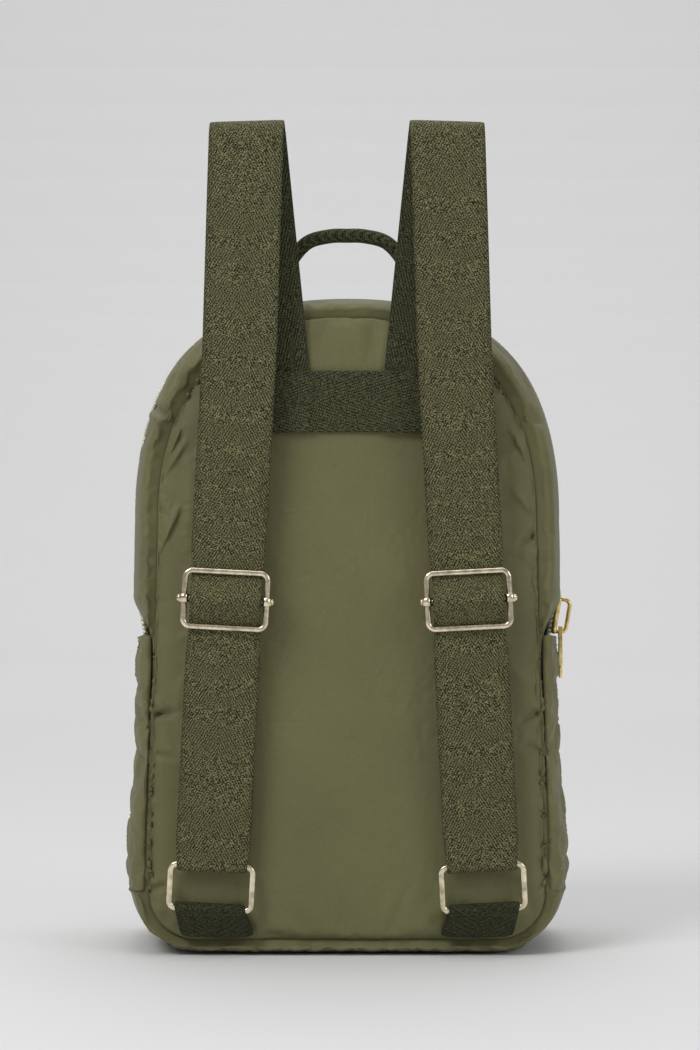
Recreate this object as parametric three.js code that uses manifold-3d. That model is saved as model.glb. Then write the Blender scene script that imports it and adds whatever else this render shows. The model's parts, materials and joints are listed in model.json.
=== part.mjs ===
// A small quilted backpack that stands on its base, with its shoulder straps upright.
// Lengths are in millimetres. X runs across the bag, Y from the side that lies on the wearer's
// back (negative) to the quilted side, and Z up. The origin is on the floor under the bag.

import * as THREE from 'three';
import { mergeVertices } from 'three/addons/utils/BufferGeometryUtils.js';
import Module from 'manifold-3d';

const wasm = await Module();
wasm.setup();

// Clearances
const SEAM_GAP = 0.3;            // between pieces that are sewn or rest together
const SLIDING_GAP = 0.4;         // beside webbing or metal that passes through metal
const POCKET_GAP = 0.5;          // between a pocket and the wall where they lie together

// The bag's shape, measured on the seam between a panel and the gusset
const BODY_HEIGHT = 334;         // floor to the crown of the top gusset
const LOW_WIDTH = 200.8;         // between the seams, just above the bottom corners
const SHOULDER_WIDTH = 192;      // between the seams, where the arch begins
const ARCH_START = 220;          // height at which the arch begins
const ARCH_FULLNESS = 2.3;       // 2 is an ellipse, more is squarer
const CORNER_RADIUS = 24;        // bottom corners of the panels
const BASE_SEAM_HEIGHT = 8;      // floor to the bottom seam
const BASE_DEPTH = 112;          // between the two panels' seams at the floor
const TOP_DEPTH = 84;            // between the two panels' seams at the top

// The padded gusset, which swells over the seams
const SIDE_BULGE = 13;
const TOP_BULGE = 11;
const SHOULDER_SWELL = 4;        // more than the sides and the top have, halfway between them
const BASE_BULGE = 10;
const CROWN_FULLNESS = 2.5;      // 2 is an ellipse, more is squarer
const GUSSET_WALL = 3.5;

// Panels
const BACK_EDGE = 2;             // thickness of the back panel at its seam
const BACK_PADDING = 6;          // thickness of the back panel away from its seam
const BACK_ROUNDING = 10;        // width of its rounded border
const BACK_SHOULDER_INSET = 0.3; // the border's shoulder, as a share of that width
const BACK_SHOULDER_RISE = 0.65; // and as a share of the rise from the edge to the face
const QUILT_WIDTH = 36;          // quilted diamonds, corner to corner
const QUILT_HEIGHT = 38;
const QUILT_SEAM = 2.5;          // thickness along the stitched lines
const QUILT_PUFF = 6;            // extra thickness in the middle of a diamond
const QUILT_FADE = 14;           // border over which the diamonds flatten
const QUILT_FULLNESS = 0.7;      // less is fuller

// Side pockets
const HEM_HEIGHT = 162;          // top edge of a pocket at the panels' seams
const HEM_DIP = 3;               // how much lower the edge is in the middle
const POCKET_LOW_BULGE = 10.8;   // inner face of the pocket, at its foot
const POCKET_HEM_BULGE = 9.4;    // and at its hem
const POCKET_EDGE = 0.02;        // distance of its side edges from the seams, as a share of the depth
const POCKET_SLACK = 9;          // depth of the open mouth, on either side of the zip
const SLACK_FULLNESS = 0.8;      // less is fuller
const POCKET_QUILT_HEIGHT = 35.5;
const POCKET_QUILT_SHIFT = 1;    // quarter diamonds by which the stitching lies below the hem
const POCKET_SEAM = 1.8;         // thickness along the stitched lines
const POCKET_PUFF = 1.8;         // extra thickness in the middle of a diamond
const POCKET_FADE = 34;          // height below the hem over which the diamonds flatten
const POCKET_DENT = 2;           // depth of the dent that runs below the hem
const POCKET_DENT_HEIGHT = 36;
const MOUTH_START = 156;         // the wall leans out again from here
const MOUTH_END = 182;           // to here

// Zip
const ZIP_END = 150;             // height of both ends of the zip, inside the pockets
const ZIP_GAP = 15;              // between the two fabric strips
const ZIP_DROP = 2.5;            // depth of the tape below the crown of the strips, on the sides
const ARCH_ZIP_DROP = 1.1;       // and over the arch
const ZIP_RISE_START = 190;      // the tape rises from one to the other from here
const ZIP_RISE_END = 235;        // to here
const TAPE_THICKNESS = 1.2;
const TEETH_WIDTH = 5;
const TEETH_HEIGHT = 1.6;
const SLIDER_HEIGHT = 171;       // middle of the zip slider above the floor
const SLIDER_LENGTH = 20;
const SLIDER_WIDTH = 10;
const SLIDER_RISE = 8.4;         // from the teeth to the top of the bridge
const SLIDER_PLATE = 2.4;
const SLIDER_CORNER = 3;
const SLIDER_BEVEL = 0.4;
const SLIDER_GAP = 0.5;          // over the teeth
const BRIDGE_WIDTH = 4.4;
const BRIDGE_METAL = 2;
const BRIDGE_FOOT = 4.4;         // thickness of its upper foot
const BRIDGE_INSET = 0.3;        // from the plate's end
const BRIDGE_SUNK = 1;           // depth of the bridge inside the plate
const BRIDGE_CORNER = 2.6;
const BRIDGE_BEVEL = 0.5;
const PULL_THICKNESS = 1.8;
const PULL_WIDTH = 7.8;
const PULL_LENGTH = 21;          // from the pivot to the shoulders of the tip
const PULL_TIP_WIDTH = 3.4;
const PULL_TIP_LENGTH = 5;
const PULL_WINDOW = 6.4;         // from the pivot to the foot of the window
const PULL_CORNER = 1.5;
const PULL_BEVEL = 0.25;

// Webbing
const WEB_WIDTH = 37.6;
const WEB_THICKNESS = 1.5;
const WEB_GATHERED = 35.6;       // width where it is gathered in the metal
const GATHER_LENGTH = 12;
const STRAP_TOP = 421;           // floor to the fold at the top of a strap
const STRAP_FOOT_ACROSS = 37.6;  // middle of the bag to the webbing's middle where it leaves the yoke
const FOLD_RADIUS = 7;
const FOLD_STAND = 3;            // the fold's rear stands this far in front of the back panel
const LOOP_SWEEP = 1.05 * Math.PI; // how far the webbing's end goes round the buckle's bar

// Where the middle of a strap's webbing lies, from the fold down to the ring: its height as a
// share of the fold's, and its distance from the middle of the bag as a share of the half width
const STRAP_LINE = [
  { up: 1, across: 0.5 },
  { up: 0.726, across: 0.536 },
  { up: 0.476, across: 0.596 },
  { up: 0.108, across: 0.677 },
  { up: 0.021, across: 0.697 },
];

// Yoke
const YOKE_WIDTH = 119;
const YOKE_HEIGHT = 33.5;
const YOKE_DROP = 38;            // from the crown of the top gusset to its upper edge
const YOKE_RISE = 2.5;           // the lower edge is higher in the middle by this much
const YOKE_THICKNESS = 1.5;
const YOKE_STEP = 1;             // width over which it steps on to a strap's end
const YOKE_CLEARANCE = 2;        // the straps leave the panel this far above it
const STRAP_UNDER_YOKE = 22;

// Metal of the straps
const WIRE_WIDTH = 3;            // seen from the front
const WIRE_DEPTH = 2.6;
const WIRE_BEVEL = 0.7;
const METAL_INNER_WIDTH = 38.4;
const BUCKLE_HEIGHT = 31;        // outside
const BUCKLE_CENTRE = 180.5;
const BUCKLE_STAND = 15;         // from the back panel's face to the frame's mid-plane
const BUCKLE_CORNER = 5.2;
const BAR_RADIUS = 1.5;
const SLEEVE_BORE = 2.05;
const SLEEVE_WALL = 0.9;
const SLEEVE_LENGTH = 4.2;
const RING_HEIGHT = 25.3;        // outside
const RING_CENTRE = 35.4;
const RING_STAND = 6.4;          // from the back panel's face to the middle of the ring
const RING_LEAN = 4.5;           // degrees, the top of the ring stands further out
const RING_CORNER = 4.8;
const TAB_FOOT_SHIFT = 4.2;      // the sewn end lies nearer to the middle of the bag
const TAB_FOOT_HEIGHT = 9.4;
const TAB_FOOT_STAND = 5.8;      // from the back panel's seam to the rear layer of the tab

// Carry handle
const HANDLE_THICKNESS = 7.4;
const HANDLE_RISE = 32.4;        // from the crown of the top gusset to the middle of the roll
const HANDLE_HALF_SPAN = 33;
const HANDLE_PLACE = 0.21;       // share of the depth, from the back panel

// The handle's curve, as shares of its half span and of its rise above its feet
const HANDLE_SHAPE = [
  { across: 1.0, up: 0 },
  { across: 1.0, up: 0.3 },
  { across: 0.88, up: 0.62 },
  { across: 0.62, up: 0.9 },
  { across: 0.28, up: 0.99 },
];

// Fineness of the meshes
const ARCH_STEPS = 24;
const CORNER_STEPS = 4;
const BASE_STEPS = 7;
const LOW_SIDE_STEPS = 5;
const MOUTH_STEPS = 5;
const SHOULDER_STEPS = 2;
const STRAP_STEP = 45;           // longest straight piece of webbing
const TURN_STEP = Math.PI / 5;   // largest turn of the webbing between two sections
const HANDLE_STEPS = 22;
const HANDLE_SIDES = 10;
const BAR_SIDES = 10;
const SLEEVE_SIDES = 12;

// Sections of the gusset, as shares of the depth and of the way from the seam to the zip
const LOWER_SHARES = [0, 0.06, 0.16, 0.28, 0.42, 0.6, 0.72, 0.84, 0.94, 1];
const STRIP_SHARES = [0, 0.16, 0.4, 0.7, 1];

// Colours
const NYLON = { color: 0x69694b, roughness: 0.72, metalness: 0 };
const WEBBING = { color: 0x4b4b31, roughness: 0.85, metalness: 0 };
const PALE_GOLD = { color: 0xd8c9ab, roughness: 0.25, metalness: 1 };
const BRIGHT_GOLD = { color: 0xd9b75c, roughness: 0.22, metalness: 1 };
const ZIP_TAPE_CLOTH = { color: 0x5c5c40, roughness: 0.85, metalness: 0 };

// Sizes that follow from the ones above
const REAR_SEAM = -BASE_DEPTH / 2;
const BACK_FACE = REAR_SEAM - BACK_PADDING;
const LOW_HALF = LOW_WIDTH / 2;
const SHOULDER_HALF = SHOULDER_WIDTH / 2;
const SIDE_START = BASE_SEAM_HEIGHT + CORNER_RADIUS;
const ARCH_RISE = BODY_HEIGHT - TOP_BULGE - ARCH_START;
const HALF_WEB = WEB_THICKNESS / 2;
const WIRE_REACH = Math.hypot(WIRE_WIDTH / 2, WIRE_DEPTH / 2 - WIRE_BEVEL);
const WRAP_RADIUS = WIRE_REACH + SEAM_GAP + HALF_WEB;
const LAYER_PITCH = WEB_THICKNESS + SLIDING_GAP;
const BUCKLE_PLANE = BACK_FACE - BUCKLE_STAND;
const BAR_OFFSET = (BUCKLE_HEIGHT - WIRE_WIDTH) / 2;
const RING_BAR_OFFSET = (RING_HEIGHT - WIRE_WIDTH) / 2;
const RING_PLANE = BACK_FACE - RING_STAND;
const YOKE_TOP = BODY_HEIGHT - YOKE_DROP;
const YOKE_BOTTOM = YOKE_TOP - YOKE_HEIGHT;
const HANDLE_TOP = BODY_HEIGHT + HANDLE_RISE;
const STRAP_POINTS = STRAP_LINE.map((row) => ({ height: STRAP_TOP * row.up, across: LOW_HALF * row.across }));

const lerp = THREE.MathUtils.lerp;
const smoothstep = THREE.MathUtils.smoothstep;
const point = (x, y, z) => new THREE.Vector3(x, y, z);

// Evenly spaced values from one end to the other, both included
function steps(from, to, count) {
  return Array.from({ length: count + 1 }, (_, k) => lerp(from, to, k / count));
}

// The seam outline, as stations that each hold a point and the outward direction

function sideStation(height) {
  const share = (height - SIDE_START) / (ARCH_START - SIDE_START);
  const slope = (LOW_HALF - SHOULDER_HALF) / (ARCH_START - SIDE_START);
  const length = Math.hypot(1, slope);
  return { x: lerp(LOW_HALF, SHOULDER_HALF, share), z: height, nx: 1 / length, nz: slope / length };
}

function archStation(angle) {
  const power = 2 / ARCH_FULLNESS;
  const across = Math.sign(Math.cos(angle)) * Math.pow(Math.abs(Math.cos(angle)), power);
  const up = Math.pow(Math.sin(angle), power);
  const grade = ARCH_FULLNESS - 1;
  const nx = Math.sign(across) * Math.pow(Math.abs(across), grade) / SHOULDER_HALF;
  const nz = Math.pow(up, grade) / ARCH_RISE;
  const length = Math.hypot(nx, nz);
  return {
    x: SHOULDER_HALF * across,
    z: ARCH_START + ARCH_RISE * up,
    nx: nx / length,
    nz: nz / length,
  };
}

function cornerStation(angle) {
  const nx = Math.cos(angle);
  const nz = -Math.sin(angle);
  return {
    x: LOW_HALF - CORNER_RADIUS + CORNER_RADIUS * nx,
    z: SIDE_START + CORNER_RADIUS * nz,
    nx,
    nz,
  };
}

const mirrored = (station) => ({ ...station, x: -station.x, nx: -station.nx });

// From the right-hand end of the zip, over the top, to the left-hand end
function archStations() {
  const mouth = steps(ZIP_END, MOUTH_END, MOUTH_STEPS);
  const shoulder = steps(MOUTH_END, ARCH_START, SHOULDER_STEPS).slice(1);
  const right = [...mouth, ...shoulder].map(sideStation);
  const arch = steps(0, Math.PI, ARCH_STEPS).slice(1, -1).map(archStation);
  return [...right, ...arch, ...right.map(mirrored).reverse()];
}

// From just below the right-hand end of the zip, under the base, to the left-hand end
function baseStations() {
  const side = steps(ZIP_END - SEAM_GAP, SIDE_START, LOW_SIDE_STEPS).map(sideStation);
  const corner = steps(0, Math.PI / 2, CORNER_STEPS).slice(1).map(cornerStation);
  const floor = steps(LOW_HALF - CORNER_RADIUS, CORNER_RADIUS - LOW_HALF, BASE_STEPS)
    .slice(1, -1)
    .map((x) => ({ x, z: BASE_SEAM_HEIGHT, nx: 0, nz: -1 }));
  const right = [...side, ...corner];
  return [...right, ...floor, ...right.map(mirrored).reverse()];
}

// The whole outline, once round
function outlineStations() {
  const lower = baseStations().slice(1, -1);
  const upper = archStations().filter((s) => s.z > ZIP_END + SEAM_GAP).reverse();
  return [...lower, ...upper];
}

function halfWidthAt(height) {
  if (height > ARCH_START) {
    const up = Math.min(1, (height - ARCH_START) / ARCH_RISE);
    return SHOULDER_HALF * Math.pow(1 - Math.pow(up, ARCH_FULLNESS), 1 / ARCH_FULLNESS);
  }
  return sideStation(Math.max(height, SIDE_START)).x;
}

function archHeightAt(across) {
  const share = Math.abs(across) / SHOULDER_HALF;
  return ARCH_START + ARCH_RISE * Math.pow(1 - Math.pow(share, ARCH_FULLNESS), 1 / ARCH_FULLNESS);
}

const depthAt = (height) => lerp(BASE_DEPTH, TOP_DEPTH, height / BODY_HEIGHT);
const frontSeamAt = (height) => REAR_SEAM + depthAt(height);
const midDepthAt = (height) => REAR_SEAM + depthAt(height) / 2;

// How far the gusset's outer face stands outside the seam outline

function crown(across) {
  const edge = Math.pow(Math.abs(2 * across - 1), CROWN_FULLNESS);
  return Math.pow(Math.max(0, 1 - edge), 1 / CROWN_FULLNESS);
}

function bulgeAt(station) {
  const flat = SIDE_BULGE * station.nx ** 2;
  if (station.nz < 0) {
    return flat + BASE_BULGE * station.nz ** 2;
  }
  return flat + TOP_BULGE * station.nz ** 2 + SHOULDER_SWELL * (2 * station.nx * station.nz) ** 2;
}

function pocketInnerAt(height, across) {
  const share = (height - SIDE_START) / (HEM_HEIGHT - SIDE_START);
  const below = THREE.MathUtils.clamp((HEM_HEIGHT - height) / POCKET_DENT_HEIGHT, 0, 1);
  const dent = POCKET_DENT * Math.sin(Math.PI * below);
  return (lerp(POCKET_LOW_BULGE, POCKET_HEM_BULGE, share) - dent) * crown(across);
}

// The side wall behind a pocket is pressed in, in two hollows beside the line of the zip
function gussetOffset(station, across) {
  const full = bulgeAt(station) * crown(across);
  if (station.z < SIDE_START - 1e-6 || station.z > MOUTH_END) {
    return full;
  }
  const depth = smoothstep(station.z, SIDE_START, (SIDE_START + HEM_HEIGHT) / 2);
  const hollow = Math.abs(Math.sin(2 * Math.PI * across));
  const slack = POCKET_SLACK * depth * Math.pow(hollow, SLACK_FULLNESS);
  const pressed = pocketInnerAt(station.z, across) - POCKET_GAP - slack;
  return lerp(pressed, full, smoothstep(station.z, MOUTH_START, MOUTH_END));
}

// A point that stands off the seam outline by a distance, at a share of the depth
function gussetPoint(station, across, offset) {
  const z = Math.max(0, station.z + station.nz * offset);
  const y = lerp(REAR_SEAM, frontSeamAt(station.z), across);
  return point(station.x + station.nx * offset, y, z);
}

// Building closed meshes

function closedGeometry(positions, index) {
  let volume = 0;
  for (let k = 0; k < index.length; k += 3) {
    const [a, b, c] = [index[k], index[k + 1], index[k + 2]].map((i) => positions[i]);
    volume += a.dot(b.clone().cross(c));
  }
  const outward = [];
  for (let k = 0; k < index.length; k += 3) {
    const [a, b, c] = [index[k], index[k + 1], index[k + 2]];
    outward.push(...(volume > 0 ? [a, b, c] : [a, c, b]));
  }
  const geometry = new THREE.BufferGeometry();
  const flat = positions.flatMap((p) => p.toArray());
  geometry.setAttribute('position', new THREE.Float32BufferAttribute(flat, 3));
  geometry.setIndex(outward);
  geometry.computeVertexNormals();
  return geometry;
}

// A sheet with thickness, from matching rows of points on its two faces
function sheetSolid(outer, inner, risingDiagonal = () => true) {
  const rows = outer.length;
  const columns = outer[0].length;
  const last = columns - 1;
  const positions = [...outer.flat(), ...inner.flat()];
  const at = (face, i, j) => (face * rows + i) * columns + j;
  const index = [];
  const quad = (a, b, c, d) => index.push(a, b, c, a, c, d);
  for (let i = 0; i < rows - 1; i += 1) {
    for (let j = 0; j < columns - 1; j += 1) {
      const corners = [at(0, i, j), at(0, i + 1, j), at(0, i + 1, j + 1), at(0, i, j + 1)];
      if (risingDiagonal(i, j)) {
        quad(...corners);
      } else {
        quad(corners[1], corners[2], corners[3], corners[0]);
      }
      quad(at(1, i, j), at(1, i, j + 1), at(1, i + 1, j + 1), at(1, i + 1, j));
    }
    quad(at(0, i, 0), at(1, i, 0), at(1, i + 1, 0), at(0, i + 1, 0));
    quad(at(0, i, last), at(0, i + 1, last), at(1, i + 1, last), at(1, i, last));
  }
  for (let j = 0; j < columns - 1; j += 1) {
    quad(at(0, 0, j), at(0, 0, j + 1), at(1, 0, j + 1), at(1, 0, j));
    quad(at(0, rows - 1, j), at(1, rows - 1, j), at(1, rows - 1, j + 1), at(0, rows - 1, j + 1));
  }
  return closedGeometry(positions, index);
}

// A solid through rings of points, closed by a fan at each end
function ringSolid(rings) {
  const count = rings[0].length;
  const positions = rings.flat();
  const index = [];
  for (let r = 0; r < rings.length - 1; r += 1) {
    for (let k = 0; k < count; k += 1) {
      const next = (k + 1) % count;
      const [a, b] = [r * count + k, r * count + next];
      index.push(a, b, b + count, a, b + count, a + count);
    }
  }
  const middle = (ring) => ring.reduce((sum, p) => sum.add(p), point(0, 0, 0)).divideScalar(count);
  const first = positions.push(middle(rings[0])) - 1;
  const last = positions.push(middle(rings[rings.length - 1])) - 1;
  const start = (rings.length - 1) * count;
  for (let k = 0; k < count; k += 1) {
    const next = (k + 1) % count;
    index.push(first, next, k);
    index.push(last, start + k, start + next);
  }
  return closedGeometry(positions, index);
}

function toManifold(geometry) {
  const bare = geometry.clone();
  bare.deleteAttribute('normal');
  bare.deleteAttribute('uv');
  const merged = mergeVertices(bare, 1e-4);
  return new wasm.Manifold(new wasm.Mesh({
    numProp: 3,
    vertProperties: new Float32Array(merged.attributes.position.array),
    triVerts: new Uint32Array(merged.index.array),
  }));
}

function fromManifold(solid) {
  const mesh = solid.getMesh();
  const geometry = new THREE.BufferGeometry();
  geometry.setAttribute('position', new THREE.BufferAttribute(new Float32Array(mesh.vertProperties), 3));
  geometry.setIndex(new THREE.BufferAttribute(new Uint32Array(mesh.triVerts), 1));
  geometry.computeVertexNormals();
  return geometry;
}

function makeMesh(name, geometry, finish) {
  const mesh = new THREE.Mesh(geometry, new THREE.MeshStandardMaterial(finish));
  mesh.name = name;
  return mesh;
}

// Quilting on a grid of quarter diamonds: 0 on the stitched lines and 1 in the middle of a diamond

const quarterSteps = (length, pitch) => Math.max(4, Math.round(length / (pitch / 4)));

function puffAt(i, j) {
  const rising = Math.abs(Math.sin((Math.PI * (i + j)) / 4));
  const falling = Math.abs(Math.sin((Math.PI * (i - j)) / 4));
  return Math.pow(rising * falling, QUILT_FULLNESS);
}

const alongStitching = (i, j) => (i - j) % 4 === 0 || (i + j + 1) % 4 !== 0;

// Panels

function backPanel() {
  const stations = outlineStations();
  const ring = (inset, y) => stations.map((s) => point(s.x - s.nx * inset, y, s.z - s.nz * inset));
  const inner = REAR_SEAM - SEAM_GAP;
  const shoulder = REAR_SEAM - lerp(BACK_EDGE, BACK_PADDING, BACK_SHOULDER_RISE);
  return ringSolid([
    ring(0, inner),
    ring(0, REAR_SEAM - BACK_EDGE),
    ring(BACK_ROUNDING * BACK_SHOULDER_INSET, shoulder),
    ring(BACK_ROUNDING, BACK_FACE),
  ]);
}

function frontPanel() {
  const width = LOW_WIDTH + QUILT_WIDTH / 2;
  const height = BODY_HEIGHT - TOP_BULGE + QUILT_HEIGHT / 4;
  const columns = quarterSteps(width, QUILT_WIDTH);
  const rows = quarterSteps(height, QUILT_HEIGHT);
  const innerFace = (z) => frontSeamAt(z) + SEAM_GAP;
  const grid = Array.from({ length: rows + 1 }, (_, i) => Array.from({ length: columns + 1 }, (_, j) => {
    const x = lerp(-width / 2, width / 2, j / columns);
    const z = lerp(0, height, i / rows);
    const toSide = halfWidthAt(z) - Math.abs(x);
    const toTop = archHeightAt(Math.min(Math.abs(x), SHOULDER_HALF)) - z;
    const fade = smoothstep(Math.min(toSide, toTop, z - BASE_SEAM_HEIGHT), 0, QUILT_FADE);
    return point(x, innerFace(z) + QUILT_SEAM + QUILT_PUFF * puffAt(i, j) * fade, z);
  }));
  const border = [
    ...grid[0],
    ...grid.slice(1, -1).map((row) => row[columns]),
    ...grid[rows].slice().reverse(),
    ...grid.slice(1, -1).map((row) => row[0]).reverse(),
  ];
  const flat = border.map((p) => point(p.x, innerFace(p.z), p.z));
  const positions = [...grid.flat(), ...flat, point(0, innerFace(height / 2), height / 2)];
  const at = (i, j) => i * (columns + 1) + j;
  const borderIndex = border.map((p) => positions.indexOf(p));
  const offset = grid.flat().length;
  const index = [];
  for (let i = 0; i < rows; i += 1) {
    for (let j = 0; j < columns; j += 1) {
      const [a, b, c, d] = [at(i, j), at(i + 1, j), at(i + 1, j + 1), at(i, j + 1)];
      if (alongStitching(i, j)) {
        index.push(a, b, c, a, c, d);
      } else {
        index.push(b, c, d, b, d, a);
      }
    }
  }
  for (let k = 0; k < border.length; k += 1) {
    const next = (k + 1) % border.length;
    const [a, b] = [borderIndex[k], borderIndex[next]];
    index.push(a, b, offset + next, a, offset + next, offset + k);
    index.push(positions.length - 1, offset + k, offset + next);
  }
  const slab = toManifold(closedGeometry(positions, index));
  const outline = (y) => outlineStations().map((s) => point(s.x, y, s.z));
  const cutter = toManifold(ringSolid([outline(REAR_SEAM), outline(BASE_DEPTH)]));
  return fromManifold(slab.intersect(cutter));
}

// Gusset

const isFloor = (station) => station.nz < -0.9;

function gussetSheet(stations, placesAt) {
  const rows = (inset) => stations.map((station) => placesAt(station).map((across) => (
    gussetPoint(station, across, gussetOffset(station, across) - inset)
  )));
  const inner = (row, i) => {
    const lowest = isFloor(stations[i]) ? GUSSET_WALL : 0;
    return row.map((p) => point(p.x, p.y, Math.max(p.z, lowest)));
  };
  return sheetSolid(rows(0), rows(GUSSET_WALL).map(inner));
}

const lowerGusset = () => gussetSheet(baseStations(), () => LOWER_SHARES);

// The strip between the back panel (side -1) or the front panel (side 1) and the zip
function zipStrip(side) {
  return gussetSheet(archStations(), (station) => {
    const zipEdge = (1 - ZIP_GAP / depthAt(station.z)) / 2;
    return STRIP_SHARES.map((share) => (side < 0 ? share * zipEdge : 1 - share * zipEdge));
  });
}

// How far the zip tape's outer face stands outside the seam outline
function tapeOffset(station) {
  const drop = lerp(ZIP_DROP, ARCH_ZIP_DROP, smoothstep(station.z, ZIP_RISE_START, ZIP_RISE_END));
  return gussetOffset(station, 0.5) - drop;
}

function alongZip(width, low, high) {
  const face = (offset) => archStations().map((station) => {
    const half = width / 2 / depthAt(station.z);
    return [0.5 - half, 0.5 + half].map((across) => (
      gussetPoint(station, across, tapeOffset(station) + offset)
    ));
  });
  return sheetSolid(face(high), face(low));
}

// Side pockets

function sidePocket(side) {
  const height = HEM_HEIGHT - SIDE_START;
  const rows = quarterSteps(height, POCKET_QUILT_HEIGHT);
  const columns = quarterSteps(BASE_DEPTH, QUILT_WIDTH);
  const face = (thick) => Array.from({ length: rows + 1 }, (_, i) => (
    Array.from({ length: columns + 1 }, (_, j) => {
      const across = lerp(POCKET_EDGE, 1 - POCKET_EDGE, j / columns);
      const rise = i / rows;
      const z = SIDE_START + rise * (height - HEM_DIP * Math.sin(Math.PI * across));
      const border = Math.min(1, 4 * Math.min(j, columns - j) / columns, 4 * rise);
      const fade = border * smoothstep(HEM_HEIGHT - z, 0, POCKET_FADE);
      const puff = puffAt(i + POCKET_QUILT_SHIFT, j);
      const cloth = thick ? POCKET_SEAM + POCKET_PUFF * puff * fade : 0;
      const station = sideStation(z);
      const placed = gussetPoint(station, across, pocketInnerAt(z, across) + cloth);
      return point(side * placed.x, placed.y, placed.z);
    })
  ));
  return sheetSolid(face(true), face(false), (i, j) => alongStitching(i + POCKET_QUILT_SHIFT, j));
}

// Webbing: a path made of straight runs and turns round bars, seen from the side

// Each turn has a middle (y, z), a radius and a sense: 1 turns left and -1 turns right
function webbingPath(turns) {
  const legs = [];
  for (let k = 0; k < turns.length - 1; k += 1) {
    const [from, to] = [turns[k], turns[k + 1]];
    const [dy, dz] = [to.y - from.y, to.z - from.z];
    const [signedFrom, signedTo] = [from.sense * from.radius, to.sense * to.radius];
    legs.push(Math.atan2(dz, dy) + Math.asin((signedFrom - signedTo) / Math.hypot(dy, dz)));
  }
  const samples = [];
  const add = (turn, angle, width, leg) => samples.push({
    y: turn.y + Math.sin(angle) * turn.sense * turn.radius,
    z: turn.z - Math.cos(angle) * turn.sense * turn.radius,
    angle,
    width,
    run: leg,
  });
  turns.forEach((turn, k) => {
    const enter = legs[Math.max(k - 1, 0)];
    const leave = k < legs.length ? legs[k] : enter + (turn.lastSweep ?? 0) * turn.sense;
    const full = 2 * Math.PI;
    const sweep = turn.sense * ((((leave - enter) * turn.sense) % full + full) % full);
    const count = Math.max(1, Math.ceil(Math.abs(sweep) / TURN_STEP - 1e-6));
    for (let n = 0; n <= (turn.radius > 0 ? count : 0); n += 1) {
      add(turn, enter + (sweep * n) / count, turn.width, turn.run + (turn.change ?? 0) * (n / count));
    }
  });
  return samples;
}

// Straight runs are divided, and the webbing takes its full width again away from the metal
function withStraights(samples) {
  const result = [samples[0]];
  for (let k = 1; k < samples.length; k += 1) {
    const [a, b] = [samples[k - 1], samples[k]];
    const length = Math.hypot(b.y - a.y, b.z - a.z);
    if (length > 3 * GATHER_LENGTH) {
      const gather = GATHER_LENGTH / length;
      const count = Math.ceil(length / STRAP_STEP);
      for (const share of steps(gather, 1 - gather, count)) {
        const place = { y: lerp(a.y, b.y, share), z: lerp(a.z, b.z, share) };
        result.push({ ...a, ...place, angle: b.angle, width: WEB_WIDTH, run: lerp(a.run, b.run, share) });
      }
    }
    result.push(b);
  }
  return result;
}

function ribbon(samples, thickness) {
  const face = (offset) => samples.map((s) => [-0.5, 0.5].map((share) => point(
    s.x + Math.cos(s.lean) * s.width * share,
    s.y + Math.sin(s.angle) * offset,
    s.z - Math.cos(s.angle) * offset + Math.sin(s.lean) * s.width * share,
  )));
  return sheetSolid(face(thickness / 2), face(-thickness / 2));
}

// The outer run's distance from the middle of the bag, and its lean, at a height
function strapLineAt(height) {
  const upper = STRAP_POINTS.findIndex((row, k) => k > 0 && height >= row.height);
  const k = upper < 0 ? STRAP_POINTS.length - 1 : upper;
  const [top, low] = [STRAP_POINTS[k - 1], STRAP_POINTS[k]];
  const slope = (top.across - low.across) / (top.height - low.height);
  return { across: low.across + slope * (height - low.height), lean: -Math.atan(slope) };
}

const ringBar = (up) => {
  const lean = THREE.MathUtils.degToRad(RING_LEAN) * up;
  return {
    y: RING_PLANE - RING_BAR_OFFSET * Math.sin(lean),
    z: RING_CENTRE + up * RING_BAR_OFFSET * Math.cos(lean),
  };
};

const sleeveReach = SLEEVE_BORE + SLEEVE_WALL;
const loopWidth = METAL_INNER_WIDTH + WIRE_WIDTH - 2 * (sleeveReach + SLIDING_GAP);

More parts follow.
